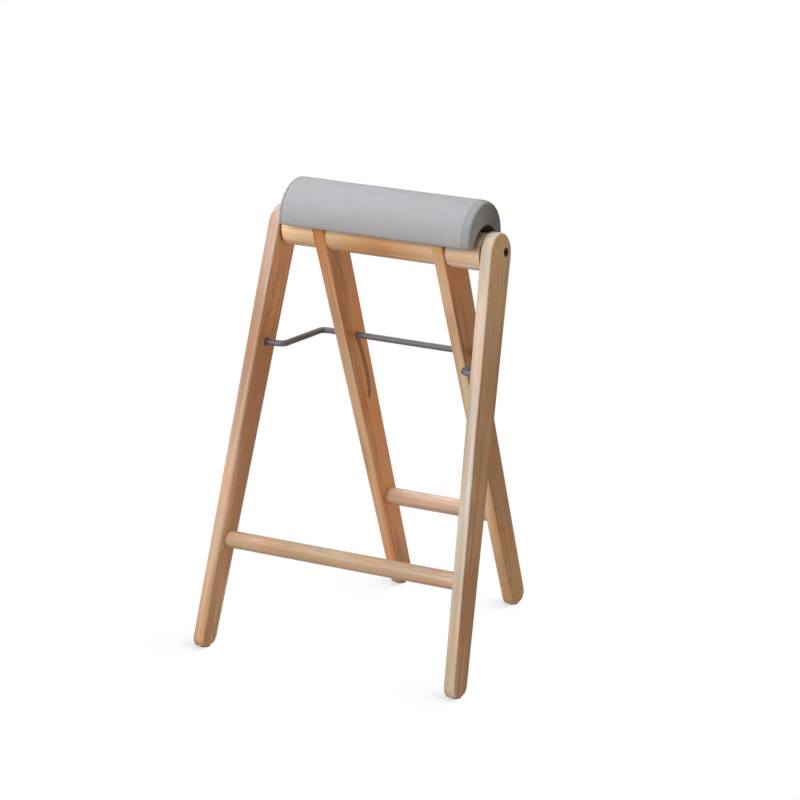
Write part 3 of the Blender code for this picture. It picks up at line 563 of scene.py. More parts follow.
def eased(node, finish, arris, body, slot):
    """A copy of a solid with its sharp edges eased and its own finish, in the solid's place."""
    work = bmesh.new()
    work.from_mesh(frame["nodes"][node].data)
    bmesh.ops.remove_doubles(work, verts=work.verts, dist=MERGE_DISTANCE)
    bmesh.ops.dissolve_limit(work, angle_limit=FLAT_ANGLE, verts=work.verts, edges=work.edges)
    mesh = bpy.data.meshes.new(node)
    work.to_mesh(mesh)
    work.free()
    mesh.materials.clear()
    mesh.materials.append(finish)
    mesh.shade_smooth()
    mesh.set_sharp_from_angle(angle=SHARP_ANGLE)
    rough = placed("rough_" + node, mesh)
    bevel = rough.modifiers.new("arris", "BEVEL")
    bevel.width = arris
    bevel.segments = 2
    bevel.limit_method = "ANGLE"
    bevel.angle_limit = SHARP_ANGLE
    bevel.harden_normals = False
    rough.modifiers.new("flats", "WEIGHTED_NORMAL").keep_sharp = True
    mesh = plain_mesh(rough, node + "_piece")
    sideways = [abs(normal.vector.x) for normal in mesh.corner_normals]
    mesh.attributes.new("sideways", "FLOAT", "CORNER").data.foreach_set("value", sideways)
    return own(mesh, node + "_piece", body, slot, node)


print("helpers for pieces are ready")


# %% Legs and seat bar
FRONT_LEAN, REAR_LEAN, SPLAY = (math.radians(angle) for angle in (-16.4, 20.1, 3.3))
REAR_TURN = (REAR_LEAN, 0.0, 0.0)
LEG_HALF = 0.37  # half of the length that a leg's colours are spread over
ARRIS = 0.0005
SLOTTED = {"recess_shade": 0.5}  # painted shade: a slot is a little darker inside
RECESSED = {"recess_shade": 1.0, "rim_shadow": 0.9}  # painted shade in a bolt's recess, and a painted shadow round it
OILED_AND_SHADED_ENDS = {"ends_oil_and_shade": 0.8}

# Each board: colours of its front as the lamps light it, then colours that paint the shade on its sides
boards = [
    ("rear_leg_left", "rear_frame", REAR_TURN, 1.7, LEG_HALF,
     [(0.86, 0.44, 0.23), (0.87, 0.56, 0.34), (0.88, 0.63, 0.46), (0.55, 0.25, 0.08)],
     [(0.94, 0.49, 0.26), (0.97, 0.44, 0.14), (0.90, 0.42, 0.18)], SLOTTED),
    ("rear_leg_right", "rear_frame", REAR_TURN, 4.1, LEG_HALF,
     [(0.82, 0.53, 0.30), (0.81, 0.60, 0.39), (0.84, 0.70, 0.49), (0.65, 0.36, 0.19)],
     [(0.73, 0.41, 0.15), (0.48, 0.20, 0.075), (0.76, 0.32, 0.085)], SLOTTED),
    ("front_leg_left", "front_frame", (FRONT_LEAN, SPLAY, 0.0), 2.6, LEG_HALF,
     [(0.67, 0.46, 0.30), (0.61, 0.40, 0.29), (0.62, 0.455, 0.38)],
     [(0.98, 0.66, 0.38), (0.94, 0.52, 0.33), (0.98, 0.58, 0.28)], RECESSED),
    ("front_leg_right", "front_frame", (FRONT_LEAN, -SPLAY, 0.0), 5.3, LEG_HALF,
     [(0.76, 0.64, 0.49), (0.69, 0.60, 0.53), (0.65, 0.56, 0.46)],
     [(0.80, 0.45, 0.24), (0.73, 0.42, 0.20), (0.66, 0.38, 0.18), (0.86, 0.58, 0.33)], RECESSED),
    # The bar's darker middle stop paints the shade that the roll casts on it; its other stops are the wood's
    # own tone
    ("seat_bar", "rear_frame", ALONG_X, 7.9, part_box("seat_bar")[1].x,
     [(0.90, 0.69, 0.45), (0.86, 0.64, 0.42), (0.67, 0.375, 0.19), (0.82, 0.61, 0.44), (0.84, 0.69, 0.57)],
     None, OILED_AND_SHADED_ENDS),
]
for node, body, turn, number, half, face, side, marked in boards:
    middle = middle_of(node)
    middle.y = bar_middle.y + math.tan(turn[0]) * (bar_middle.z - middle.z)
    finish = beech(node + "_beech", middle, turn, number, half, face, side, **marked)
    board = eased(node, finish, ARRIS, body, "oiled_beech")
    print(node, "has", len(board.data.polygons), "faces")

# %% [markdown]
# ## Turned pieces
# The rungs came off a lathe, and so did the glides, in effect: each is a line with a radius at
# every point. A Geometry Nodes tree can be that lathe. It turns a line of points into a curve,
# reads the radius at each, sweeps a circle along it, and can slide the shoulders sideways where a
# rung meets splayed legs. The tree's sizes are inputs, so one tree makes every one.

# %% Tree: lathe
def swept(line, sides, radius, **more):
    """A circle swept along a curve, with closed ends."""
    circle = follow("GeometryNodeCurvePrimitiveCircle", {"Resolution": sides, "Radius": radius})[0]
    inputs = {"Curve": line, "Profile Curve": circle, "Fill Caps": True, **more}
    return follow("GeometryNodeCurveToMesh", inputs)[0]


def finish_piece(end, label, geometry, finish):
    """Make a tree's geometry real, give it its finish and link it to the output."""
    real = follow("GeometryNodeRealizeInstances", {0: geometry})[0]
    finished = follow("GeometryNodeSetMaterial", {"Geometry": real, "Material": finish})[0]
    finish_with(end, {label: finished})


lathe, given, end = new_tree("lathe", [
    ("Line", GEOMETRY, None),
    ("Sides", WHOLE, 48),
    ("Axis height", FLOAT, 0.0),
    ("Shoulder slope", FLOAT, 0.0),
    ("Shoulder reach", FLOAT, 0.0),
    ("Finish", MATERIAL, None),
], [("Turned piece", GEOMETRY)], "GeometryNodeTree")
line = follow("GeometryNodeMeshToCurve", {0: given["Line"]})[0]
girth = put(lathe, "GeometryNodeInputNamedAttribute", {"Name": "girth"}, data_type="FLOAT")[0]
blank = swept(line, given["Sides"], 1.0, Scale=girth)
spot = parts_of(put(lathe, "GeometryNodeInputPosition")[0])
inside = maths("LESS_THAN", maths("ABSOLUTE", spot[0]), given["Shoulder reach"])
slide = times(given["Shoulder slope"], minus(given["Axis height"], spot[2]))
slide = vector_of(lathe, times(maths("SIGN", spot[0]), slide))
slid = follow("GeometryNodeSetPosition", {"Geometry": blank, "Selection": inside, "Offset": slide})
finish_piece(end, "Turned piece", slid[0], given["Finish"])


# %% Helper: run a tree on a line of points
def run_tree(tree, name, points, values, numbers=None, directions=None):
    """Give a line of points, with attributes, to a Geometry Nodes tree and keep the plain mesh."""
    mesh = bpy.data.meshes.new("line_" + name)
    mesh.from_pydata([tuple(point) for point in points], [(i, i + 1) for i in range(len(points) - 1)], [])
    for label, data in (numbers or {}).items():
        mesh.attributes.new(label, "FLOAT", "POINT").data.foreach_set("value", data)
    for label, data in (directions or {}).items():
        flat = [part for direction in data for part in direction]
        mesh.attributes.new(label, "FLOAT_VECTOR", "POINT").data.foreach_set("vector", flat)
    rough = placed("line_" + name, mesh)
    modifier = rough.modifiers.new("tree", "NODES")
    modifier.node_group = tree
    for socket in tree.interface.items_tree:
        if socket.in_out == "INPUT" and socket.name in values:
            modifier[socket.identifier] = values[socket.name]
    made = plain_mesh(rough, name)
    made.shade_smooth()
    made.set_sharp_from_angle(angle=SHARP_ANGLE)
    return made


def turned(name, body, slot, axis, profile, values):
    """A piece from the lathe, given its radius at each place along an axis through its middle."""
    points = [middle_of(name) for _ in profile]
    for point, (place, _) in zip(points, profile):
        point[axis] = place
    mesh = run_tree(lathe, name + "_piece", points, values, {"girth": [radius for _, radius in profile]})
    return own(mesh, name + "_piece", body, slot, name)


print("trees can run on", lathe.name)

# %% Rungs
TENON_RADIUS = 0.010
TENON_LENGTH = 0.013
FIT = 0.0003  # between neighbours
STEP = 2e-6  # two radii at one place lie this far apart
SHOULDER_EDGE = 0.0010  # radius of its rounding
TENON_EDGE = 0.0008
EDGE_STEPS = 3  # of a rounded edge
RUNG_HALF = 0.19  # half of the length that a rung's colours are spread over


def softened(place, radius, edge, way):
    """Points of a rounded edge where a turned piece ends, from its side to its face."""
    angles = [math.pi / 2 * i / EDGE_STEPS for i in range(EDGE_STEPS + 1)]
    return [(place - way * edge * (1 - math.sin(a)), radius - edge * (1 - math.cos(a))) for a in angles]


def make_rung(name, body, slope, number, face):
    """Turn a rung between its shoulders, with a tenon at each end."""
    middle = middle_of(name)
    low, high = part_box(name)
    girth = (high.y - low.y) / 2
    reach = high.x - TENON_LENGTH - FIT
    half = softened(reach, girth, SHOULDER_EDGE, 1) + [(reach + STEP, TENON_RADIUS)]
    half += softened(high.x, TENON_RADIUS, TENON_EDGE, 1)
    profile = [(-x, radius) for x, radius in reversed(half)] + half
    finish = beech(name + "_beech", middle, ALONG_X, number, RUNG_HALF, face, ring_width=0.0028)
    rung = turned(name, body, "oiled_beech", 0, profile, {
        "Sides": 56, "Axis height": middle.z, "Shoulder slope": slope,
        "Shoulder reach": reach + STEP * 2, "Finish": finish})
    print(name, "is", round(2 * girth * 1000, 1), "mm thick, with", len(rung.data.polygons), "faces")


make_rung("front_rung", "front_frame", math.tan(SPLAY), 3.2,
          [(0.55, 0.37, 0.25), (0.72, 0.59, 0.45), (0.70, 0.52, 0.41)])
make_rung("rear_rung", "rear_frame", 0.0, 6.4, [(0.72, 0.55, 0.45), (0.70, 0.54, 0.43)])

# %% Glides
GLIDE_DISC = 0.0013  # thickness of the disc under a foot
FOOT_EDGE = 0.0005  # radius of the disc's lower edge
DISC_EDGE = 0.0002
NAIL_RADIUS = 0.0015
NAIL_TIP = 0.0003

for end_name in ("front", "rear"):
    for side in ("left", "right"):
        name = f"{end_name}_glide_{side}"
        low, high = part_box(name)
        disc = (high.x - low.x) / 2
        profile = [(z - low.z, radius) for z, radius in reversed(softened(0.0, disc, FOOT_EDGE, -1))]
        profile += [(GLIDE_DISC - DISC_EDGE, disc), (GLIDE_DISC, disc - DISC_EDGE),
                    (GLIDE_DISC + STEP, NAIL_RADIUS), (high.z - NAIL_RADIUS, NAIL_RADIUS), (high.z, NAIL_TIP)]
        turned(name, end_name + "_frame", "dark_nylon", 2, profile, {"Sides": 40, "Finish": NYLON})
print("glides are", round(disc * 2000, 1), "mm across")

# %% [markdown]
# ## The stay
# The stay is one steel rod with four bends. It is modelled as it is made: a line through the
# corners, each corner filleted to the bender's radius, and a circle swept along the result. As a
# Geometry Nodes tree, the rod's thickness and its bends are inputs. The rod's ends lie on the axis
# of the joint that it turns on, so that they meet the bushes, and its long middle run lies at the
# top of the slots.

# %% Tree: bent rod
bent_rod, given, end = new_tree("bent_rod", [
    ("Corners", GEOMETRY, None),
    ("Bend radius", FLOAT, 0.011),
    ("Bend steps", WHOLE, 12),
    ("Rod radius", FLOAT, 0.005),
    ("Sides", WHOLE, 28),
    ("Finish", MATERIAL, None),
], [("Rod", GEOMETRY)], "GeometryNodeTree")
line = follow("GeometryNodeMeshToCurve", {0: given["Corners"]})[0]
line = follow("GeometryNodeFilletCurve", {"Curve": line, "Count": given["Bend steps"],
                                          "Radius": given["Bend radius"]}, mode="POLY")[0]
finish_piece(end, "Rod", swept(line, given["Sides"], given["Rod radius"]), given["Finish"])

# %% Stay rod
ROD_RADIUS = 0.005
ARM_X = 0.16107
CROSS_ROD = (0.047357, 0.4748)  # Y and Z of the long middle run, at the top of the slots

stay_joint = next(joint for joint in frame["joints"] if joint["child"] == "stay")
_, turn_y, turn_z = stay_joint["pos_m"]
tip_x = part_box("stay_rod")[1].x
half_rod = [(tip_x, turn_y, turn_z), (ARM_X, turn_y, turn_z), (ARM_X, *CROSS_ROD)]
rod_corners = half_rod + [(-x, y, z) for x, y, z in reversed(half_rod)]
rod_mesh = run_tree(bent_rod, "stay_rod_piece", rod_corners, {"Rod radius": ROD_RADIUS, "Finish": STEEL})
own(rod_mesh, "stay_rod_piece", "stay", "coated_steel", "stay_rod")
print("rod is", round(2 * tip_x * 1000), "mm wide, with", len(rod_mesh.polygons), "faces")

# %% [markdown]
# ## Fasteners and fittings
# The bolt heads sit dark in their counterbores, with a hexagon socket. Thin wedge washers part the
# splayed legs from the bar, and bushes line the holes that the stay turns in. Their solids have
# the right shape, so they only need their edges eased. What is buried in the wood or under the
# cushion keeps its solid and gets its finish through the material slot.

# %% Small pieces
for side in ("left", "right"):
    eased("pivot_bolt_" + side, BLACK_STEEL, 0.0003, "rear_frame", "black_steel")
    eased("pivot_washer_" + side, NYLON, 0.0002, "front_frame", "dark_nylon")
    eased("stay_bush_" + side, BROWN_NYLON, 0.0002, "front_frame", "dark_nylon")
buried = {"pivot_insert": ZINC, "leg_screw": ZINC, "cushion_screw": ZINC, "cushion_saddle": CORK}
kept = {f"{name}_{side}": finish for name, finish in buried.items() for side in ("left", "right")}
kept["cushion_shell"] = SHELL
for node, finish in kept.items():
    frame["nodes"][node].data.materials[0] = finish
print("solids with new finishes:", len(kept))

# %% [markdown]
# ## Cloth
# The cover is a plain woven upholstery cloth: one thread over, one under, each thread a slightly
# different grey. The weave follows the cloth, so it reads the piece's own UV map, which is laid
# out in metres: across the roll one way and round it the other. The group gives the height of the
# threads for the bump and a shade for each thread.

# %% Group: plain weave
BOTH = (0, 1)  # the two ways that threads run

weave, given, end = new_tree("plain_weave", [
    ("Cloth place", VECTOR, None),
    ("Thread pitch", FLOAT, 0.0009),
], [("Height", FLOAT), ("Shade", FLOAT)])
counted = scaled(given["Cloth place"], maths("DIVIDE", 1.0, given["Thread pitch"]))
wavy = follow("ShaderNodeTexNoise", {"Vector": counted, "Scale": 0.06, "Detail": 2.0})["Color"]
across = parts_of(vector_maths("ADD", counted, scaled(wavy, 1.2)))
number = [maths("FLOOR", across[axis]) for axis in BOTH]
within = [maths("SINE", times(maths("FRACT", across[axis]), math.pi)) for axis in BOTH]
odd = maths("FLOORED_MODULO", plus(*number), 2.0)
sign = minus(1.0, times(odd, 2.0))
rise = [plus(0.5, times(times(sign, 0.5 - axis), within[1 - axis])) for axis in BOTH]
threads = [times(within[axis], rise[axis]) for axis in BOTH]
on_top = maths("GREATER_THAN", *threads)
shades = [follow("ShaderNodeTexWhiteNoise", {"W": plus(number[axis], 1000.0 * axis)},
                 noise_dimensions="1D")["Value"] for axis in BOTH]
shade = follow("ShaderNodeMix", {0: on_top, 2: shades[1], 3: shades[0]}, data_type="FLOAT")[0]
fuzz = clouds(counted, 2.2, 3.0)
finish_with(end, {"Height": plus(maths("MAXIMUM", *threads), times(fuzz, 0.25)),
                  "Shade": plus(times(shade, 0.3), times(fuzz, 0.7))})


# %% Cloth materials
SEAM_X = (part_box("cushion_cover")[1].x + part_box("cushion_end_right")[0].x) / 2
# Painted shade in the crease of each seam
PAINTED_SEAM_SHADE = (0.10, 0.10, 0.11, 1.0)
PAINTED_PANEL_SHADE = (0.15, 0.16, 0.15, 1.0)  # painted shade: an end panel's cloth where less light reaches it
PANEL_SHADE_FROM, PANEL_SHADE_TO = bar_middle.y - 0.030, bar_middle.y + 0.035  # the painted shade deepens from front to rear
FOLD_SHADE_SHARE = 0.7  # how much painted shade the fold beside the seam gets, against the rear


def cloth(name, colour, deep, bump, panel_shade=0.0):
    """A woven cloth with heathered threads, soft mottling and a faint sheen of loose fibres, with painted
    shade in its seams' creases and, on an end panel, towards the rear and in the fold by the seam.
    """
    made, tree, shader, place = new_material(name)
    flat = put(tree, "ShaderNodeUVMap", uv_map="cloth")[0]
    height, shade = follow("ShaderNodeGroup", {"Cloth place": flat}, node_tree=weave)
    mottle = clouds(flat, 38.0, 3.0)
    tone = plus(times(shade, 0.75), times(mottle, 0.5))
    dyed = mixed(ramp(tone, 0.25, 1.0), (*deep, 1.0), (*colour, 1.0))
    gaps = [share * 0.62 for share in deep]
    dyed = mixed(ramp(height, 0.15, 0.45), (*gaps, 1.0), dyed)
    side, rearwards, _ = parts_of(place)
    to_seam = maths("ABSOLUTE", minus(maths("ABSOLUTE", side), SEAM_X))
    # Painted shade along the seam's crease
    dyed = mixed(ramp(to_seam, 0.0003, 0.0014, 0.22, 0.0), dyed, PAINTED_SEAM_SHADE)
    in_panel_shade = maths("MAXIMUM", ramp(rearwards, PANEL_SHADE_FROM, PANEL_SHADE_TO, 0.0, panel_shade),
                    ramp(to_seam, 0.002, 0.013, panel_shade * FOLD_SHADE_SHARE, 0.0))
    fill(shader, {"Base Color": mixed(in_panel_shade, dyed, PAINTED_PANEL_SHADE), "Normal": raised(height, bump, 0.0004),
                  "Roughness": ramp(mottle, 0.3, 0.7, 0.86, 0.96), "Specular IOR Level": 0.2,
                  "Sheen Weight": 0.11, "Sheen Roughness": 0.5})
    return made


COVER_CLOTH = cloth("light_grey_cloth", (0.485, 0.495, 0.543), (0.394, 0.404, 0.443), 0.5)
END_CLOTH = cloth("end_panel_cloth", (0.570, 0.610, 0.660), (0.457, 0.488, 0.528), 0.5, 0.62)
# Painted shade: a near-black cloth lines the channel and the mouth of each end, where the roll shades the bar
SHADE_LINING = cloth("painted_shade_lining", (0.030, 0.022, 0.017), (0.020, 0.014, 0.010), 0.3)
THREAD = coated("pale_thread", (0.72, 0.72, 0.74), (0.60, 0.60, 0.62), 0.8, 0.0, 0.0004, 0.4, 0.004)
print("cloths:", ", ".join(finish.name for finish in (COVER_CLOTH, END_CLOTH, SHADE_LINING, THREAD)))

# %% [markdown]
# ## Cushion: the shape before it is stuffed
# The seat is a foam roll with a channel along its underside, where it sits over the bar. Its cover
# is a sleeve with a panel sewn to each end. A grid of quads that follows the section gives even
# cloth and a ring of points exactly on each seam, which a remesh would lose. It starts a little
# smaller than the real roll, because the pressure of the stuffing will swell it.

# %% Section of the roll
cover_low, cover_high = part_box("cushion_cover")
ROLL_RADIUS = (cover_high.y - cover_low.y) / 2
CROWN = 0.0010  # how far the stuffing lifts the roll above its solid
ROLL_Z = cover_high.z - ROLL_RADIUS + CROWN
LIP_Z = cover_low.z
END_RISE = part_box("cushion_end_right")[1].x - SEAM_X
CHANNEL_RADIUS = 0.0355
LIP_CORNER = 0.008
LIP_INNER_CORNER = 0.005
LIP_SHARE = 0.3  # of an inset, taken at the lips' undersides
ARC_STEPS = 40
ROUND_STEPS = 48
LIP_STEPS = 5


def arc(middle, radius, start, stop):
    """Points along an arc in the YZ plane; angles run from +Y towards +Z."""
    turns = [start + (stop - start) * i / ARC_STEPS for i in range(ARC_STEPS + 1)]
    return [Vector((middle[0] + radius * math.cos(a), middle[1] + radius * math.sin(a))) for a in turns]


def arch(middle_z, radius, corner, lip, way):
    """An arch over the bar with a rounded corner at each lip; way is -1 outside and 1 in the channel."""
    reach = radius + way * corner
    tilt = math.asin((lip + corner - middle_z) / reach)
    side = reach * math.cos(tilt)
    first, last = (1.5 * math.pi, math.pi - tilt), (tilt, -math.pi / 2)
    if way > 0:
        first, last = (-math.pi / 2, -tilt), (math.pi + tilt, 1.5 * math.pi)
    return (arc((bar_middle.y - side, lip + corner), corner, *first)
            + arc((bar_middle.y, middle_z), radius, math.pi - tilt, tilt)[1:-1]
            + arc((bar_middle.y + side, lip + corner), corner, *last))


def spaced(points, steps):
    """Points at even distances along a path."""
    lengths = [0.0]
    for before, after in zip(points, points[1:]):
        lengths.append(lengths[-1] + (after - before).length)
    found = []
    segment = 0
    for i in range(steps + 1):
        goal = lengths[-1] * i / steps
        while segment < len(points) - 2 and lengths[segment + 1] < goal:
            segment += 1
        share = (goal - lengths[segment]) / (lengths[segment + 1] - lengths[segment])
        found.append(points[segment].lerp(points[segment + 1], share))
    return found


def section(outer_inset, flare):
    """The roll's outline: over the outside, along one lip, back through the channel, along the other."""
    outside = arch(ROLL_Z, ROLL_RADIUS - outer_inset, LIP_CORNER - outer_inset / 2,
                   LIP_Z + outer_inset * LIP_SHARE, -1)
    lip = LIP_Z + flare * LIP_SHARE
    inside = arch(bar_middle.z, CHANNEL_RADIUS, LIP_INNER_CORNER - flare / 3, lip, 1)
    wider = 1 + flare / CHANNEL_RADIUS
    higher = 1 + flare / (bar_middle.z + CHANNEL_RADIUS - lip)
    inside = [Vector((bar_middle.y + (point.x - bar_middle.y) * wider, lip + (point.y - lip) * higher))
              for point in inside]
    outside = spaced(outside, ROUND_STEPS)
    inside = spaced(inside, ROUND_STEPS)
    rear = [outside[-1].lerp(inside[-1], j / LIP_STEPS) for j in range(1, LIP_STEPS)]
    front = [inside[0].lerp(outside[0], j / LIP_STEPS) for j in range(1, LIP_STEPS)]
    return outside + rear + inside[::-1] + front


OUTLINE = section(0.0, 0.0)
AROUND = [0.0]
for before, after in zip(OUTLINE, OUTLINE[1:] + OUTLINE[:1]):
    AROUND.append(AROUND[-1] + (after - before).length)
print("outline of", len(OUTLINE), "points,", round(AROUND[-1] * 1000), "mm round")

# %% Mesh of the roll
START_INSET = 0.0005  # how much smaller the roll starts
SEAM_DIP = 0.0008  # how far the seams are drawn in
STITCH_IN = 0.0030  # from a seam to its topstitching
BODY_STEPS = 68
END_STEPS = 8
END_PROUD = {-1: -0.0042, 1: 0.0008}  # beyond the solid's ends: the stuffing has crept to the right
END_INSET = 0.0070  # of an end panel's rim, against the seam
END_FLARE = 0.0065  # of the channel's mouth
END_CROWN = 0.0005  # how far a panel bulges beyond its rim
PANEL_STEP = 0.0028  # between the rings of an end panel that is laid flat
INNER_FIRST = ROUND_STEPS + LIP_STEPS
INNER_LAST = INNER_FIRST + ROUND_STEPS

stitch_x = SEAM_X - STITCH_IN
stations = [(stitch_x * (2 * i / BODY_STEPS - 1), 0.0, 0.0) for i in range(BODY_STEPS + 1)]
for way in (-1, 1):
    side = [(way * (SEAM_X - STITCH_IN / 2), 0.0, 0.0), (way * SEAM_X, SEAM_DIP, 0.0)]
    for i in range(1, END_STEPS + 1):
        turn = math.pi / 2 * i / END_STEPS
        drawn = 1 - math.cos(turn)
        reach = (END_RISE + END_PROUD[way] - START_INSET - END_CROWN) * math.sin(turn)
        side.append((way * (SEAM_X + reach), END_INSET * drawn, END_FLARE * drawn))
    stations = stations + side if way > 0 else side[::-1] + stations
seam_rings = [i for i, station in enumerate(stations) if abs(station[0]) == SEAM_X]
rings = [[(x, point.x, point.y) for point in section(START_INSET + outer, flare)]
         for x, outer, flare in stations]

shape = bmesh.new()
flat_map = shape.loops.layers.uv.new("cloth")
loops = [[shape.verts.new(point) for point in ring] for ring in rings]
count = len(OUTLINE)


def end_layout(ring_number, point_number):
    """Where a point of an end panel lies when the panel is flat."""
    on_left = ring_number <= seam_rings[0]
    rim = Vector(loops[0 if on_left else -1][point_number].co.yz)
    steps = ring_number if on_left else len(loops) - 1 - ring_number
    outwards = Vector(loops[seam_rings[0]][point_number].co.yz) - rim
    return rim + outwards.normalized() * steps * PANEL_STEP


for r in range(len(rings) - 1):
    on_end = r < seam_rings[0] or r >= seam_rings[1]
    for p in range(count):
        q = (p + 1) % count
        places = ((r, p, AROUND[p]), (r, q, AROUND[p + 1]), (r + 1, q, AROUND[p + 1]), (r + 1, p, AROUND[p]))
        face = shape.faces.new([loops[ring_number][point_number] for ring_number, point_number, _ in places])
        # Faces in the channel take the near-black cloth that paints the shade under the roll
        in_channel = INNER_FIRST <= p < INNER_LAST
        face.material_index = 2 if in_channel else 1 if on_end else 0
        for loop, (ring_number, point_number, around) in zip(face.loops, places):
            loop[flat_map].uv = (end_layout(ring_number, point_number) if on_end and not in_channel
                                 else (rings[ring_number][0][0], around))

for ring in (loops[0], loops[-1]):
    columns = [[ring[0]] + ring[count - 1:INNER_LAST:-1] + [ring[INNER_LAST]]]
    for i in range(1, ROUND_STEPS):
        top, bottom = ring[i].co, ring[INNER_LAST - i].co
        middle = []
        for j in range(1, LIP_STEPS):
            spot = top.lerp(bottom, j / LIP_STEPS)
            spot.x += math.copysign(END_CROWN, spot.x) * math.sin(math.pi * j / LIP_STEPS)
            middle.append(shape.verts.new(spot))
        columns.append([ring[i]] + middle + [ring[INNER_LAST - i]])
    columns.append(ring[ROUND_STEPS:INNER_FIRST + 1])
    for left, right in zip(columns, columns[1:]):
        for j in range(LIP_STEPS):
            face = shape.faces.new((left[j], left[j + 1], right[j + 1], right[j]))
            face.material_index = 1
            for loop in face.loops:
                loop[flat_map].uv = loop.vert.co.yz
bmesh.ops.recalc_face_normals(shape, faces=shape.faces)
print("roll has", len(shape.verts), "points before stuffing")

# %% [markdown]
# ## Cushion: stuffing it
# Cloth simulation with pressure from inside gives the roundness of foam under a taut cover. The
# seams and the channel are pinned, as the sewing and the stiff shell hold them on the real seat.
# The movement is capped softly, so that the roll ends at its true size.

# %% Stuffing
PRESSURE = 8.0
STRETCH_STIFFNESS = 30.0
BEND_STIFFNESS = 2.0
FRAMES = 20
SWELL = 0.0034  # furthest that the cloth may move

cushion_mesh = bpy.data.meshes.new("cushion")
shape.verts.index_update()
held = {loops[r][p].index for r in range(len(rings)) for p in (0, 1, *range(INNER_FIRST - 3, count))}
held |= {vert.index for r in seam_rings for vert in loops[r]}
shape.to_mesh(cushion_mesh)
shape.free()
for finish in (COVER_CLOTH, END_CLOTH, SHADE_LINING):
    cushion_mesh.materials.append(finish)
rough_cushion = placed("rough_cushion", cushion_mesh)


def stuff(piece, pinned):
    """Swell a closed mesh with cloth pressure, cap the movement and give the furthest."""
    group = piece.vertex_groups.new(name="held")
    group.add(sorted(pinned), 1.0, "REPLACE")
    modifier = piece.modifiers.new("cloth", "CLOTH")
    settings = modifier.settings
    settings.vertex_group_mass = group.name
    settings.use_pressure = True
    settings.uniform_pressure_force = PRESSURE
    settings.effector_weights.gravity = 0.0
    settings.tension_stiffness = STRETCH_STIFFNESS
    settings.compression_stiffness = STRETCH_STIFFNESS
    settings.bending_stiffness = BEND_STIFFNESS
    modifier.collision_settings.use_collision = False
    modifier.point_cache.frame_start = 1
    modifier.point_cache.frame_end = FRAMES
    for number in range(1, FRAMES + 1):
        scene.frame_set(number)
    swollen = piece.evaluated_get(bpy.context.evaluated_depsgraph_get()).data
    moved = [swollen.vertices[v.index].co - v.co for v in piece.data.vertices]
    piece.modifiers.remove(modifier)
    scene.frame_set(1)
    piece.vertex_groups.clear()
    furthest = 0.0
    for vert, way in zip(piece.data.vertices, moved):
        length = way.length
        if length > 1e-9:
            furthest = max(furthest, length)
            vert.co += way * (SWELL * math.tanh(length / SWELL) / length)
    return furthest


print("cloth moved up to", round(stuff(rough_cushion, held) * 1000, 1), "mm before the cap")

# %% [markdown]
# ## Cushion: seams and stitches
# Sewing draws cloth in, so small puckers fan out from each seam, and the topstitching lies in a
# shallow groove. They are finer than the simulation's grid, so they come after one subdivision, as
# movements of the points along their normals.

# %% Seams and puckers
PUCKER = 0.00035
PUCKER_SPACING = 0.0125
PUCKER_REACH = 0.007  # how far the puckers fan out from a seam
PUCKER_START = 0.0015  # and how far from it they are in full
DRIFT_SCALE = 30  # of their uneven spacing
GROOVE = 0.00045  # depth of the one that the topstitching lies in
GROOVE_HALF = 0.0011
WAVE = 0.00045  # height of the cloth's soft waves
WAVE_SCALES = Vector((14, 22, 22))

smooth = rough_cushion.modifiers.new("smooth", "SUBSURF")
smooth.levels = smooth.render_levels = 1
cushion_mesh = plain_mesh(rough_cushion, "cushion")
normals = [vert.normal.copy() for vert in cushion_mesh.vertices]
for vert, normal in zip(cushion_mesh.vertices, normals):
    spot = vert.co
    out = Vector((spot.y - bar_middle.y, spot.z - ROLL_Z))
    if out.length < ROLL_RADIUS * 0.8 or spot.z < LIP_Z + 0.004:
        continue  # the channel and the lips
    to_seam = abs(abs(spot.x) - SEAM_X)
    to_stitch = abs(abs(spot.x) - stitch_x)
    round_place = math.atan2(out.y, out.x) * ROLL_RADIUS
    drift = noise.noise(spot * DRIFT_SCALE)
    gathers = math.sin(2 * math.pi * (round_place / PUCKER_SPACING + 0.35 * drift))
    fade = math.exp(-(to_seam / PUCKER_REACH) ** 2) * min(1.0, to_seam / PUCKER_START)
    lift = PUCKER * gathers * fade
    lift += WAVE * noise.noise(spot * WAVE_SCALES)
    lift -= GROOVE * math.exp(-(to_stitch / GROOVE_HALF) ** 2)
    vert.co += normal * lift
cushion_mesh.shade_smooth()
cushion = own(cushion_mesh, "cushion_piece", "rear_frame", "light_grey_fabric",
              "cushion_cover", "cushion_end_left", "cushion_end_right", "cushion_foam")
print("cushion has", len(cushion_mesh.polygons), "faces")

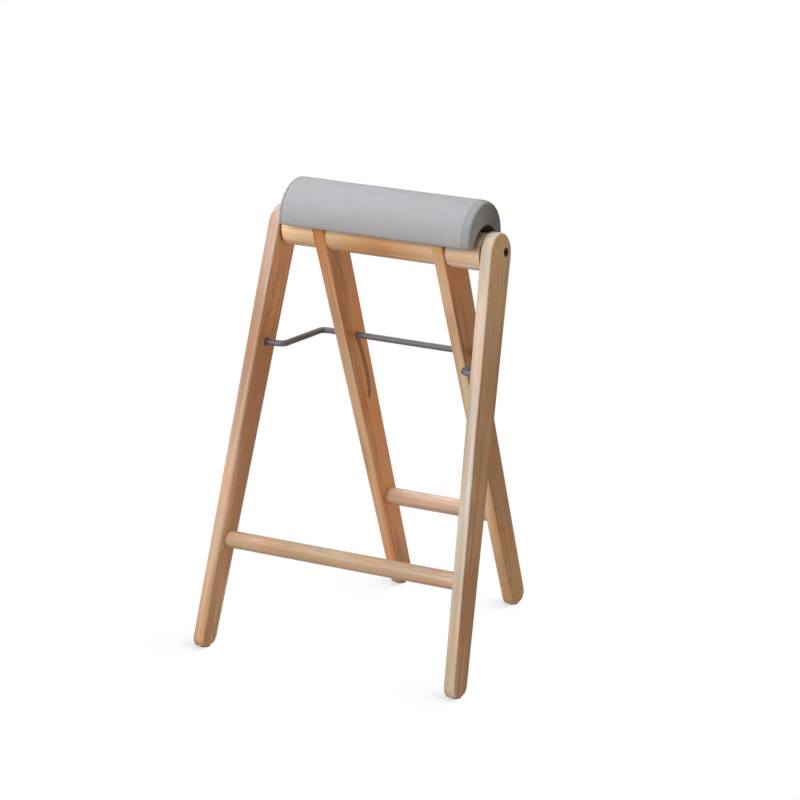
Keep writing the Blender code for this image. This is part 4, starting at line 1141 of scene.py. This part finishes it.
# %% Tree: topstitch
topstitch, given, end = new_tree("topstitch", [
    ("Sewn line", GEOMETRY, None),
    ("Stitch pitch", FLOAT, 0.0042),
    ("Stitch length", FLOAT, 0.0033),
    ("Thread radius", FLOAT, 0.00042),
    ("Finish", MATERIAL, None),
], [("Stitches", GEOMETRY)], "GeometryNodeTree")
line = follow("GeometryNodeMeshToCurve", {0: given["Sewn line"]})[0]
line = follow("GeometryNodeResampleCurve", {"Curve": line, "Length": given["Stitch pitch"]},
              mode="LENGTH")[0]
half = maths("DIVIDE", given["Stitch length"], 2.0)
low, high = (times(given["Thread radius"], share) for share in (-1.0, 1.6))
start, stop = (vector_of(topstitch, times(half, way), z=low) for way in (-1.0, 1.0))
bow = follow("GeometryNodeCurveQuadraticBezier", {
    "Resolution": 6, "Start": start, "Middle": vector_of(topstitch, z=high), "End": stop})[0]
one_stitch = swept(bow, 8, given["Thread radius"])
along = put(topstitch, "GeometryNodeInputTangent")[0]
facing = put(topstitch, "GeometryNodeInputNamedAttribute", {"Name": "facing"},
             data_type="FLOAT_VECTOR")[0]
lying = follow("FunctionNodeAlignRotationToVector", {"Vector": along}, axis="X")[0]
lying = follow("FunctionNodeAlignRotationToVector", {"Rotation": lying, "Vector": facing},
               axis="Z", pivot_axis="X")[0]
sewn = follow("GeometryNodeInstanceOnPoints", {"Points": line, "Instance": one_stitch, "Rotation": lying})
finish_piece(end, "Stitches", sewn[0], given["Finish"])

# %% Topstitching
THREAD_LIFT = 0.0001  # of the stitches' line above the cloth

cloth_surface = BVHTree.FromPolygons([tuple(v.co) for v in cushion_mesh.vertices],
                                     [tuple(f.vertices) for f in cushion_mesh.polygons])
for side, way in (("left", -1), ("right", 1)):
    sewn_line = []
    facings = []
    for point in OUTLINE[:ROUND_STEPS + 1]:
        spot, normal, _, _ = cloth_surface.find_nearest(Vector((way * stitch_x, point.x, point.y)))
        sewn_line.append(Vector((way * stitch_x, spot.y, spot.z)) + normal * THREAD_LIFT)
        facings.append(normal)
    mesh = run_tree(topstitch, "topstitch_" + side, sewn_line, {"Finish": THREAD},
                    directions={"facing": facings})
    own(mesh, "topstitch_" + side, "rear_frame", "light_grey_fabric")
print("each line of topstitching has", len(mesh.polygons), "faces")
